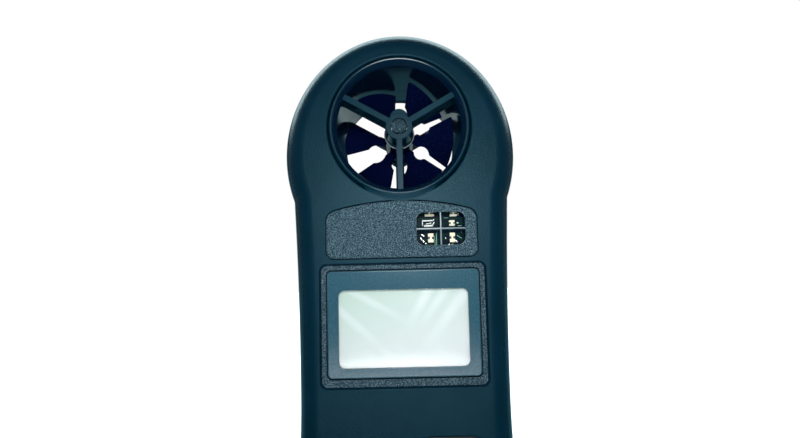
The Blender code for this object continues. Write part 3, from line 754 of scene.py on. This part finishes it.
def shoulder(face_y, size):
    """(y, inset) levels of a rounded edge running from the face to the side wall."""
    inwards = 1 if face_y < 0 else -1
    levels = []
    for i in range(SHOULDER_STEPS + 1):
        angle = pi / 2 * i / SHOULDER_STEPS
        levels.append((face_y + inwards * size[1] * (1 - cos(angle)), size[0] * (1 - sin(angle))))
    return levels


def screw_holes(case, span):
    for i, centre in enumerate(BOSSES):
        cut(case, disc(f"hole_{i}", SCREW_R + GAP, span, centre, 24))


def panel_outline(grow=0.0):
    """The sensor panel's outline, flat at the bottom and arched at the top."""
    half = PANEL_HALF + grow
    low = PANEL_Z[0] - grow
    last = PANEL_ARCH_STEPS
    points = [(-half, low), (half, low)]
    radii = [PANEL_LOW_CORNER, PANEL_LOW_CORNER]
    for i in (0, *range(3, last - 2), last):
        across = 1 - 2 * i / last
        rise = (PANEL_APEX_Z - PANEL_Z[1]) * (1 - across**2)
        points.append((half * across, PANEL_Z[1] + grow + rise))
        radii.append(PANEL_TOP_CORNER if i in (0, last) else 0.0)
    return round_corners(points, radii, 10)


def socket_hole():
    x_span = both_ways(SOCKET_HALF + SOCKET_GAP)
    return box("socket_hole", x_span, widen(SOCKET_Y, SOCKET_GAP), SOCKET_HOLE_Z)


def on_display_tray(centre, normal):
    inside = abs(centre.x) < FRAME_HALF + 0.1 and FRAME_Z[0] - 0.1 < centre.z < FRAME_Z[1] + 0.1
    return inside and FRONT_Y + 0.03 < centre.y < LEDGE_Y + 0.02 and normal.y < -0.9


def build_front_shell(outline):
    reach, depth = PARTING_GROOVE
    side = [(PARTING_Y - PARTING_GAP / 2 - reach, 0.0), (PARTING_Y - PARTING_GAP / 2, depth)]
    case = stack("front_shell", outline, shoulder(FRONT_Y, FRONT_SHOULDER) + side, SHELL)
    cut(case, stack("hollow", outline, FRONT_HOLLOW))
    for i, centre in enumerate(BOSSES):
        join(case, disc(f"boss_{i}", BOSS_R, (FRONT_WALL_Y - 1, PARTING_Y - GAP / 2), centre, 32))
    screw_holes(case, (SCREW_END_Y - 1, PARTING_Y + 1))
    through = (FRONT_Y - 1, FRONT_WALL_Y + 1)
    ring = circle(LIP_R + COLLAR_GAP, (0.0, BORE_Z), DUCT_STEPS)
    cut(case, stack("duct_hole", ring, [*LIP_GROOVE, (through[1], 0.0)]))
    levels = edge_break(FRONT_Y, 0.14) + [(PANEL_Y[1] + GAP, 0.0)]
    cut(case, stack("panel_recess", panel_outline(PANEL_GAP), levels))
    window_x = widen((WINDOW_X, WINDOW_X), WINDOW_SIZE[0] / 2 + 1)
    window_z = widen((WINDOW_Z, WINDOW_Z), WINDOW_SIZE[1] / 2 + 1)
    cut(case, box("sensor_hole", window_x, through, window_z))
    tray = rectangle(both_ways(FRAME_HALF), FRAME_Z, FRAME_CORNER, 8)
    cut(case, stack("display_tray", tray, TRAY_SLOPE))
    well = rectangle(both_ways(LENS_HALF + LENS_GAP), widen(LENS_Z, LENS_GAP), LENS_CORNER + LENS_GAP)
    cut(case, stack("lens_well", well, edge_break(LEDGE_Y, 0.12) + [(WELL_Y, 0.0)]))
    cut(case, box("view_hole", both_ways(VIEW_HALF), through, VIEW_Z, radius=0.7))
    for name, (x, z) in KEY_CENTRES.items():
        x_span = widen((x, x), KEY_SIZE[0] / 2 + KEY_SLOT)
        z_span = widen((z, z), KEY_SIZE[1] / 2 + KEY_SLOT)
        slot = rectangle(x_span, z_span, KEY_CORNER + KEY_SLOT, 8)
        cut(case, stack(f"{name}_hole", slot, edge_break(FRONT_Y, 0.25) + [(through[1], 0.0)]))
    cut(case, socket_hole())
    paint(case, LEDGE, on_display_tray)
    place(case, "housing", "shell", "front_case")


def build_rear_shell(outline):
    reach, depth = PARTING_GROOVE
    edge = [(PARTING_Y + PARTING_GAP / 2, depth), (PARTING_Y + PARTING_GAP / 2 + reach, 0.0)]
    case = stack("rear_shell", outline, edge + shoulder(BACK_Y, BACK_SHOULDER)[::-1], SHELL)
    cut(case, stack("hollow", outline, BACK_HOLLOW))
    for i, centre in enumerate(BOSSES):
        join(case, disc(f"boss_{i}", BOSS_R + 0.9, (PARTING_Y + GAP / 2, BACK_WALL_Y + 1), centre, 32))
    outer_y = (BAY_Y - BAY_WALL, BACK_WALL_Y + 1)
    join(case, box("bay_walls", both_ways(BAY_HALF + BAY_WALL), outer_y, widen(BAY_Z, BAY_WALL)))
    cut(case, box("bay", both_ways(BAY_HALF), (BAY_Y, BACK_Y + 1), BAY_Z))
    recess = rectangle(both_ways(COVER_HALF + GAP), widen(COVER_Z, GAP), COVER_CORNER, 8)
    cut(case, stack("cover_recess", recess, edge_break(BACK_Y, 0.2, -1) + [(COVER_FLOOR_Y, 0.0)]))
    for i, centre in enumerate(BOSSES):
        rim = circle(SCREW_HEAD_R + GAP, centre, 32)
        cut(case, stack(f"well_{i}", rim, edge_break(BACK_Y - 0.25, 0.25, -1) + [(SCREW_LEDGE_Y, 0.0)]))
    screw_holes(case, (PARTING_Y - 1, SCREW_LEDGE_Y + 1))
    ring = circle(REAR_COLLAR_R + COLLAR_GAP, (0.0, BORE_Z), DUCT_STEPS)
    cut(case, stack("duct_hole", ring, edge_break(BACK_Y, 0.25, -1) + [(BACK_WALL_Y - 1, 0.0)]))
    cut(case, socket_hole())
    place(case, "housing", "shell", "rear_case")


# Guards


def drafted(face, back, draft):
    """(y, inset) levels of a moulded rib: a small round at its face, then sides leaning out to its back."""
    inwards = 1 if back > face else -1
    return [
        (face, draft + 0.16),
        (face + inwards * 0.03, draft + 0.09),
        (face + inwards * 0.1, draft + 0.03),
        (face + inwards * 0.2, draft),
        (back, 0.0),
    ]


def add_spider(guard, arm, front):
    """Join a drafted hub and three arms to a guard ring, then bore the hub."""
    face, back = arm["y"] if front else arm["y"][::-1]
    inwards = 1 if front else -1
    hub = circle(arm["hub"], (0.0, BORE_Z), 64)
    join(guard, stack("hub", hub, drafted(face, back, arm["draft"])))
    half = arm["width"] / 2
    for angle in ARM_ANGLES:
        ray = Vector((cos(radians(angle)), sin(radians(angle))))
        side = Vector((-ray.y, ray.x)) * half
        start = Vector((0.0, BORE_Z)) + ray
        end = Vector((0.0, BORE_Z)) + ray * arm["reach"]
        corners = [tuple(point) for point in (start - side, end - side, end + side, start + side)]
        outline = round_corners(corners, [arm["draft"] + 0.2] * 4, 4)
        levels = drafted(face + inwards * 0.06, back - inwards * 0.06, arm["draft"])
        join(guard, stack("arm", outline, levels))
    if front:
        boss = circle(HUB_BOSS_R, (0.0, BORE_Z + HUB_BOSS_RISE), 64)
        levels = rounded_edge(HUB_BOSS_Y[0], 0.3) + [(HUB_BOSS_Y[1], 0.0)]
        join(guard, stack("boss", boss, levels))
    cut(guard, disc("hub_hole", arm["bore"], widen(arm["y"], 1), (0.0, BORE_Z), 48))


def in_duct(centre, normal):
    """Whether a face belongs to the inner wall of the duct."""
    away = hypot(centre.x, centre.z - BORE_Z)
    inward = normal.x * centre.x + normal.z * (centre.z - BORE_Z) < 0
    return away > BORE_R - 0.4 and inward


def on_crest(centre, normal):
    """Whether a face belongs to the narrow glossy crest of the front lip."""
    return centre.y < -16.3 and normal.y < -0.85 and hypot(centre.x, centre.z - BORE_Z) > LIP_CREST_R


def on_lip_flank(centre, normal):
    """Whether a face belongs to the outer side of the front lip, next to the shell."""
    outside = hypot(centre.x, centre.z - BORE_Z) > 17.5
    return centre.y < -15.0 and normal.y > -0.92 and outside


def lip_fillet():
    """Crescent under the duct where the face of the shell runs up to the lip's crest without a groove."""
    rings = []
    height = FRONT_Y - LIP_FRONT_Y - 0.03
    for i in range(FILLET_STEPS + 1):
        turn = 2 * i / FILLET_STEPS - 1
        angle = radians(270 + FILLET_HALF_ANGLE * turn)
        outer = LIP_R + FILLET_REACH * (1 - turn**2)
        profile = [(FILLET_INNER_R, FILLET_BACK_Y)]
        for k in range(9):
            u = k / 8
            rise = (1 - u) ** 2 * (1 + 2 * u) * height
            profile.append((FILLET_INNER_R + (outer - FILLET_INNER_R) * u, FRONT_Y - 0.012 - rise))
        profile.append((outer, FILLET_BACK_Y))
        rings.append([(r * cos(angle), y, BORE_Z + r * sin(angle)) for r, y in profile])
    return loft("lip_fillet", rings, SHELL)


def build_guards():
    centre = (0.0, BORE_Z)
    joint = PARTING_Y - JOINT_SETBACK
    before, behind = FRONT_FLANGE_Y
    flange = [(LIP_R, before), (FRONT_FLANGE_R, before), (FRONT_FLANGE_R, behind), (DUCT_R, behind)]
    profile = [(BORE_R, joint), *LIP_PROFILE, *flange, (DUCT_R, joint)]
    front = lathe("front_guard", profile, centre, DUCT_STEPS, GUARD)
    add_spider(front, FRONT_ARM, True)
    # The duct wall and the lip's inner slope get the darker navy, partly painted shade.
    paint(front, DUCT_NAVY_AND_SHADE, in_duct)
    paint(front, CREST, on_crest)
    # The lip's outer flank gets the darker matte plastic as painted shade in the groove next to the shell.
    paint(front, REAR_GUARD_AND_SHADE, on_lip_flank)
    place(front, "housing", "shell", "front_vane_guard")
    place(lip_fillet(), "housing", "shell")
    joint = PARTING_Y + JOINT_SETBACK
    profile = [
        (BORE_R, joint),
        (DUCT_R, joint),
        (DUCT_R, 6.0),
        (REAR_COLLAR_R, 9.0),
        (REAR_COLLAR_R, 12.4),
        (REAR_FLANGE_R, 12.4),
        (REAR_FLANGE_R, 13.7),
        (REAR_COLLAR_R, 13.7),
        (REAR_COLLAR_R, BACK_Y - 0.3),
        (REAR_COLLAR_R - 0.3, BACK_Y),
        (FLARE_R + 0.3, BACK_Y),
        (FLARE_R, BACK_Y - 0.25),
        (BORE_R + 0.1, FLARE_Y + 0.4),
        (BORE_R, FLARE_Y - 0.1),
    ]
    rear = lathe("rear_guard", profile, centre, DUCT_STEPS, REAR_GUARD_AND_SHADE)
    add_spider(rear, REAR_ARM, False)
    # The rear duct wall gets the same darker navy, partly painted shade.
    paint(rear, DUCT_NAVY_AND_SHADE, in_duct)
    place(rear, "housing", "shell", "rear_vane_guard")
    levels = rounded_edge(FRONT_CAP_Y[0], 0.12) + [(FRONT_CAP_Y[1], 0.0)]
    front_cap = stack("front_cap", circle(CAP_R, centre, 64), levels, CAP)
    place(front_cap, "housing", "shell", "front_hub_cap")
    levels = rounded_edge(REAR_CAP_Y[1], 0.12, 4, -1) + [(REAR_CAP_Y[0], 0.0)]
    rear_cap = stack("rear_cap", circle(CAP_R, centre, 64), levels, CAP)
    place(rear_cap, "housing", "shell", "rear_hub_cap")


# Rotor


def edge_at(edge, r):
    return edge[0] + edge[1] * (r - BLADE_EDGE_R)


def edge_at_tip(edge):
    """Distance along the blade where its edge reaches the tip circle."""
    slope = edge[1]
    base = edge[0] - slope * BLADE_EDGE_R
    a = 1 + slope**2
    return (-slope * base + sqrt((slope * base) ** 2 - a * (base**2 - BLADE_TIP_R**2))) / a


def blade_outline():
    """Anticlockwise outline in (distance from the axis, distance across the blade's own plane)."""
    lead = edge_at_tip(LEADING_EDGE)
    trail = edge_at_tip(TRAILING_EDGE)
    first = -atan2(edge_at(TRAILING_EDGE, trail), trail)
    last = atan2(edge_at(LEADING_EDGE, lead), lead)
    points = [(BLADE_ROOT_R, -edge_at(TRAILING_EDGE, BLADE_ROOT_R))]
    steps = 20
    for i in range(steps + 1):
        angle = first + (last - first) * i / steps
        points.append((BLADE_TIP_R * cos(angle), BLADE_TIP_R * sin(angle)))
    points.append((BLADE_ROOT_R, edge_at(LEADING_EDGE, BLADE_ROOT_R)))
    flat = [(r, across / cos(BLADE_PITCH)) for r, across in points]
    radii = [0.0] * len(flat)
    radii[1] = BLADE_CORNER / 4
    radii[steps + 1] = BLADE_CORNER / 4
    return round_corners(flat, radii, 4)


def notch(name, angle):
    r = NOTCH_CENTRE_R * cos(radians(angle))
    across = NOTCH_CENTRE_R * sin(radians(angle)) / cos(BLADE_PITCH)
    stretched = [(r + x, across + z / cos(BLADE_PITCH)) for x, z in circle(NOTCH_R, (0.0, 0.0), 48)]
    return prism(name, stretched, both_ways(BLADE_THICKNESS))


def build_rotor():
    hub = circle(ROTOR_HUB_R, (0.0, 0.0), 64)
    levels = rounded_edge(ROTOR_HUB_Y[0], 0.35) + rounded_edge(ROTOR_HUB_Y[1], 0.35, 4, -1)[::-1]
    rotor = stack("vane_rotor", hub, levels, BLADE)
    paint(rotor, HUB_FACE, lambda centre, normal: normal.y < -0.97)
    # The hub's rounded front rim gets the pale painted highlight.
    paint(rotor, ROTOR_RIM_HIGHLIGHT, lambda centre, normal: centre.y < 0 and -0.97 < normal.y < -0.2)
    blade = prism("blade", blade_outline(), both_ways(BLADE_THICKNESS / 2))
    cut(blade, notch("leading_notch", NOTCH_ANGLE))
    cut(blade, notch("trailing_notch", NOTCH_ANGLE - 360 / BLADES))
    pitch = Matrix.Rotation(BLADE_PITCH, 4, "X")
    blade.data.transform(Matrix.Translation((0.0, BLADE_Y * MM, 0.0)) @ pitch)
    combine(blade, disc("tip_circle", BLADE_TIP_R, both_ways(20), (0.0, 0.0), 192), "INTERSECT")
    for i in range(BLADES):
        copy = blade.copy()
        copy.data = blade.data.copy()
        copy.data.transform(Matrix.Rotation(-radians(BLADE_PHASE + 360 / BLADES * i), 4, "Y"))
        bpy.context.scene.collection.objects.link(copy)
        join(rotor, copy)
    bpy.data.objects.remove(blade)
    cut(rotor, disc("bore", ROTOR_HOLE_R, widen(ROTOR_HUB_Y, 1), (0.0, 0.0), 32))
    rotor.data.transform(Matrix.Translation((0.0, 0.0, BORE_Z * MM)))
    place(rotor, "vane", "blades", "rotor")


# Sensor panel


def on_window_bar(centre, normal):
    inside_x = abs(centre.x - WINDOW_X) < WINDOW_SIZE[0] / 2 - 0.05
    inside_z = abs(centre.z - WINDOW_Z) < WINDOW_SIZE[1] / 2 - 0.05
    return inside_x and inside_z and normal.y < -0.05


def build_sensor_panel():
    levels = rounded_edge(PANEL_Y[0], 0.26, 3) + [(PANEL_Y[1], 0.0)]
    panel = stack("textured_panel", panel_outline(), levels, PANEL)
    window_x = widen((WINDOW_X, WINDOW_X), WINDOW_SIZE[0] / 2)
    window_z = widen((WINDOW_Z, WINDOW_Z), WINDOW_SIZE[1] / 2)
    opening = rectangle(window_x, window_z, WINDOW_CORNER, 10)
    cut(panel, stack("window", opening, edge_break(PANEL_Y[0], 0.14) + [(PANEL_Y[1] + 1, 0.0)]))
    bar_y = (PANEL_Y[0] + 0.15, PANEL_Y[1] - 0.05)
    half = WINDOW_BAR / 2
    level = rectangle(widen(window_x, 0.6), widen((WINDOW_Z, WINDOW_Z), half), WINDOW_BAR_CORNER, 3)
    upright = rectangle(widen((WINDOW_X, WINDOW_X), half), widen(window_z, 0.6), WINDOW_BAR_CORNER, 3)
    for name, outline in (("level_bar", level), ("upright_bar", upright)):
        join(panel, stack(name, outline, rounded_edge(bar_y[0], 0.14, 3) + [(bar_y[1], 0.0)]))
    paint(panel, SHELL, lambda centre, normal: centre.y > PANEL_Y[0] + 0.22)
    paint(panel, BAR, on_window_bar)
    place(panel, "housing", "panel", "sensor_panel")


def surface_part(name, x_span, z_span, nodes):
    """Small upright chip: two soldered ends and a pale bridge between them, with a black block beside the
    bridge as painted shade at the narrow waist.
    """
    foot = PART_FOOT_Y
    end_length = 0.38 * (z_span[1] - z_span[0])
    waist = widen(z_span, -0.6 * end_length)
    # The black block beside the narrow bridge is painted shade at the chip's waist.
    part = box(name, widen(x_span, -0.08), (foot - 0.8 * CHIP_HEIGHT, foot), waist, BLACK_PLASTIC_AND_SHADE, 0.05)
    middle = (x_span[0] + x_span[1]) / 2
    join(part, box("bridge", widen((middle, middle), 0.22), (foot - 0.9 * CHIP_HEIGHT, foot - 0.1), waist))
    for low in (z_span[0], z_span[1] - end_length):
        outline = rectangle(x_span, (low, low + end_length), 0.14, 3)
        join(part, stack("end", outline, rounded_edge(foot - CHIP_HEIGHT, 0.12, 3) + [(foot, 0.0)]))

    def pale(centre, normal):
        lower = centre.z < z_span[0] + end_length + 0.01
        upper = centre.z > z_span[1] - end_length - 0.01
        return lower or upper or centre.y < foot - 0.82 * CHIP_HEIGHT

    paint(part, CREAM, pale)
    place(part, "housing", "ceramic", *nodes)


def strips(name, look, slot, runs):
    """One piece of joined strips on the sensor board."""
    made = None
    for start, end, half, height in runs:
        along = (Vector(end) - Vector(start)).normalized()
        side = Vector((-along.y, along.x)) * half
        ends = (Vector(start), Vector(end))
        corners = [tuple(p) for p in (ends[0] - side, ends[1] - side, ends[1] + side, ends[0] + side)]
        outline = round_corners(corners, [half * 0.9] * 4, 3)
        levels = rounded_edge(PART_FOOT_Y - height, min(half, height) * 0.5, 2) + [(PART_FOOT_Y, 0.0)]
        strip = stack(name, outline, levels, look)
        if made is None:
            made = strip
        else:
            join(made, strip)
    place(made, "housing", slot)


def build_sensor_board():
    board = box("sensor_circuit", SENSOR_BOARD_X, SENSOR_BOARD_Y, SENSOR_BOARD_Z, BOARD, 0.3)
    place(board, "housing", "board", "sensor_board")
    for name, x_span, z_span, nodes in CHIPS:
        surface_part(name, x_span, z_span, nodes)
    strips("humidity_cell", WHITE, "ceramic", SENSOR_FRAME)
    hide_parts("humidity_element")
    strips("solder_joints", SOLDER, "steel", SOLDER_JOINTS)
    strips("board_traces", TRACE, "board", TRACES)


# Display


def build_display():
    plate = rectangle(both_ways(LENS_HALF), LENS_Z, LENS_CORNER, 8)
    lens = stack("lens_bezel", plate, rounded_edge(LENS_Y[0], 0.3) + [(LENS_Y[1], 0.0)], LENS)
    # The lens plate's rounded edge gets the paler painted highlight.
    paint(lens, LENS_EDGE_HIGHLIGHT, lambda centre, normal: -0.95 < normal.y < -0.1)
    opening = rectangle(both_ways(GLASS_HALF), GLASS_Z, GLASS_CORNER, 8)
    cut(lens, stack("opening", opening, edge_break(LENS_Y[0], 0.12) + [(LENS_Y[1] + 1, 0.0)]))
    place(lens, "housing", "lens", "lens_plate")
    corner = GLASS_CORNER - PANE_GAP
    pane = rectangle(both_ways(GLASS_HALF - PANE_GAP), widen(GLASS_Z, -PANE_GAP), corner, 8)
    clear = stack("lens_pane", pane, rounded_edge(PANE_Y[0], 0.08, 2) + [(PANE_Y[1], 0.0)], PANE)
    place(clear, "housing", "lens")
    glass = rectangle(both_ways(LCD_HALF), LCD_Z, 0.4, 3)
    lcd = stack("lcd_panel", glass, rounded_edge(LCD_Y[0], 0.1, 2) + [(LCD_Y[1], 0.0)], LCD)
    place(lcd, "housing", "display", "lcd_glass")


# Keys and battery cover


def build_keys():
    for name, (x, z) in KEY_CENTRES.items():
        x_span = widen((x, x), KEY_SIZE[0] / 2)
        z_span = widen((z, z), KEY_SIZE[1] / 2)
        face = rectangle(x_span, z_span, KEY_CORNER, 10)
        key = stack(name + "_cap", face, KEY_DOME, RUBBER)
        flange = (FRONT_WALL_Y + GAP, FRONT_WALL_Y + GAP + 1)
        join(key, box("flange", widen(x_span, KEY_FLANGE), flange, widen(z_span, KEY_FLANGE)))
        place(key, name + "_cap", "rubber", name)


def build_battery_cover():
    outline = rectangle(both_ways(COVER_HALF), COVER_Z, COVER_CORNER - GAP, 8)
    levels = [(COVER_FLOOR_Y + GAP, 0.0)] + rounded_edge(BACK_Y, 0.3, 4, -1)[::-1]
    cover = stack("battery_lid", outline, levels, SHELL)
    for i in range(GRIPS):
        z = GRIP_LOW_Z + GRIP_PITCH * i
        groove = rectangle(both_ways(GRIP_HALF), (z, z + GRIP_WIDTH), 0.4, 4)
        cut(cover, stack(f"grip_{i}", groove, edge_break(BACK_Y, 0.2, -1) + [(BACK_Y - GRIP_DEPTH, 0.0)]))
    place(cover, "cover", "shell", "battery_cover")


# CAD nodes that stay

CARRIED_LOOKS = (
    (STEEL, ("rotor_shaft", "front_bearing", "rear_bearing")),
    (STEEL, ("case_screw_1", "case_screw_2", "case_screw_3", "case_screw_4")),
    (WHITE, ("lcd_holder",)),
    (RUBBER, ("lcd_connector", "keypad_mat")),
    (BOARD, ("main_board",)),
    (BLACK_PLASTIC_AND_SHADE, ("measuring_chip", "pickup_sensor", "battery_snap", "thermocouple_socket")),
    (JACKET, ("battery",)),
    (BRASS, ("battery_terminal_positive", "battery_terminal_negative")),
    (BRASS, ("thermocouple_contact_positive", "thermocouple_contact_negative")),
)


def finish_carried_nodes():
    for look, names in CARRIED_LOOKS:
        for name in names:
            for material_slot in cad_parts[name].material_slots:
                material_slot.material = look


# Stage, light and camera


def lobe(tree, direction, axis, outer, inner, strength):
    """Strength that rises smoothly to its full value within an angle of an axis of the surroundings."""
    toward = node(tree, "VectorMath", {0: direction, 1: Vector(axis).normalized()}, operation="DOT_PRODUCT")
    inputs = {
        "Value": toward.outputs["Value"],
        "From Min": cos(radians(outer)),
        "From Max": cos(radians(inner)),
        "To Min": 0.0,
        "To Max": strength,
    }
    return node(tree, "MapRange", inputs, interpolation_type="SMOOTHSTEP").outputs["Result"]


# Soft sources in the surroundings: direction, angle where each one starts, angle of its full core, strength
SIDE_LIGHTS = (
    ((0.0, -1.0, 0.3), 58, 15, 0.5),
    ((0.35, 0.93, 0.11), 13, 6, 0.55),
    ((-0.35, 0.93, 0.11), 13, 6, 0.55),
    ((1.0, 0.0, 0.1), 50, 15, 0.3),
    ((-1.0, 0.0, 0.1), 50, 15, 0.3),
)


def back_bank(tree, direction):
    """Bright bank above and behind the object with a crisp front edge, dimmer towards the horizon."""
    split = node(tree, "SeparateXYZ", {"Vector": direction}).outputs
    edge = remap(tree, split["Y"], 0.18, 0.22)
    above = remap(tree, split["Z"], 0.38, 0.48)
    near = remap(tree, split["Y"], 0.20, 0.45, 5.5, 0.0)
    far = remap(tree, split["Y"], 0.45, 0.88, 2.2, 0.4)
    shape = node(tree, "Math", {0: edge, 1: above}, operation="MULTIPLY").outputs[0]
    level = node(tree, "Math", {0: near, 1: far}, operation="ADD").outputs[0]
    return node(tree, "Math", {0: shape, 1: level}, operation="MULTIPLY").outputs[0]


def build_world():
    """White seen directly; as light, soft sources in front and at the sides and a bright bank behind."""
    world = bpy.data.worlds.new("studio")
    bpy.context.scene.world = world
    world.use_nodes = True
    tree = world.node_tree
    tree.nodes.clear()
    direction = node(tree, "TexCoord").outputs["Generated"]
    strength = back_bank(tree, direction)
    for axis, outer, inner, power in SIDE_LIGHTS:
        more = lobe(tree, direction, axis, outer, inner, power)
        strength = node(tree, "Math", {0: strength, 1: more}, operation="ADD").outputs[0]
    sources = node(tree, "Background", {"Color": SOURCE_COLOUR, "Strength": strength})
    shade = node(tree, "Background", {"Color": SHADE_COLOUR, "Strength": SHADE_STRENGTH})
    lit = node(tree, "AddShader", {0: sources.outputs[0], 1: shade.outputs[0]})
    seen = node(tree, "Background", {"Color": WHITE_LIGHT, "Strength": 1.0})
    direct = node(tree, "LightPath").outputs["Is Camera Ray"]
    mixed = node(tree, "MixShader", {0: direct, 1: lit.outputs[0], 2: seen.outputs[0]})
    output = node(tree, "OutputWorld")
    tree.links.new(mixed.outputs[0], output.inputs["Surface"])


def build_floor():
    """White paper: bright where it is seen directly, and as a source only in a patch before the object."""
    made, tree, shader = start_material("floor_white", (0.9, 0.9, 0.9))
    direct = node(tree, "LightPath").outputs["Is Camera Ray"]
    grey = blend_colours(tree, noise(tree, 3.0, 2.0), (0.86, 0.86, 0.86), (0.9, 0.9, 0.9))
    tone = node(tree, "Mix", {0: direct, 6: FLOOR_SHADE, 7: grey}, data_type="RGBA").outputs[2]
    place = node(tree, "TexCoord").outputs["Object"]
    away = node(tree, "VectorMath", {0: place, 1: PATCH_CENTRE}, operation="DISTANCE").outputs["Value"]
    patch = remap(tree, away, PATCH_RADII[1], PATCH_RADII[0], 0.0, PATCH_STRENGTH)
    glow = node(tree, "Mix", {0: direct, 2: patch, 3: FLOOR_GLOW}, data_type="FLOAT").outputs[0]
    feed(tree, shader, Base_Color=tone, Roughness=0.8, Emission_Color=WHITE_LIGHT, Emission_Strength=glow)
    floor = prism("floor", circle(FLOOR_R, (0.0, 0.0), 96), FLOOR_DEPTH, made)
    floor.data.transform(Matrix.Rotation(-pi / 2, 4, "X"))


def build_camera():
    """Wide close view from in front of the display, looking slightly up."""
    position = Vector(CAMERA_PLACE) * MM
    pitch, yaw, roll = (radians(angle) for angle in CAMERA_TURN)
    ahead = Vector((-sin(yaw) * cos(pitch), cos(yaw) * cos(pitch), sin(pitch)))
    level = Vector((cos(yaw), sin(yaw), 0.0))
    upright = level.cross(ahead)
    right = cos(roll) * level + sin(roll) * upright
    up = cos(roll) * upright - sin(roll) * level
    data = bpy.data.cameras.new("camera")
    data.sensor_width = 36.0
    data.lens = CAMERA_LENS
    data.shift_y = CAMERA_SHIFT
    data.clip_start = 0.005
    camera = bpy.data.objects.new("camera", data)
    bpy.context.scene.collection.objects.link(camera)
    turn = Matrix((right, up, -ahead)).transposed().to_4x4()
    camera.matrix_world = Matrix.Translation(position) @ turn
    bpy.context.scene.camera = camera


def build_key_light():
    data = bpy.data.lights.new("key", "AREA")
    data.shape = "DISK"
    data.size = KEY_LIGHT_SIZE
    data.energy = KEY_LIGHT_POWER
    data.spread = radians(KEY_LIGHT_SPREAD)
    light = bpy.data.objects.new("key", data)
    bpy.context.scene.collection.objects.link(light)
    light.location = KEY_LIGHT_PLACE
    aim = Vector(KEY_LIGHT_TARGET) - light.location
    light.rotation_mode = "QUATERNION"
    light.rotation_quaternion = aim.to_track_quat("-Z", "Y")


build_camera()
build_world()
build_floor()
build_key_light()
shell_outline = body_outline()
build_front_shell(shell_outline)
build_rear_shell(shell_outline)
build_guards()
build_rotor()
build_sensor_panel()
build_sensor_board()
build_display()
build_keys()
build_battery_cover()
finish_carried_nodes()
bpy.context.scene.view_settings.view_transform = "Standard"
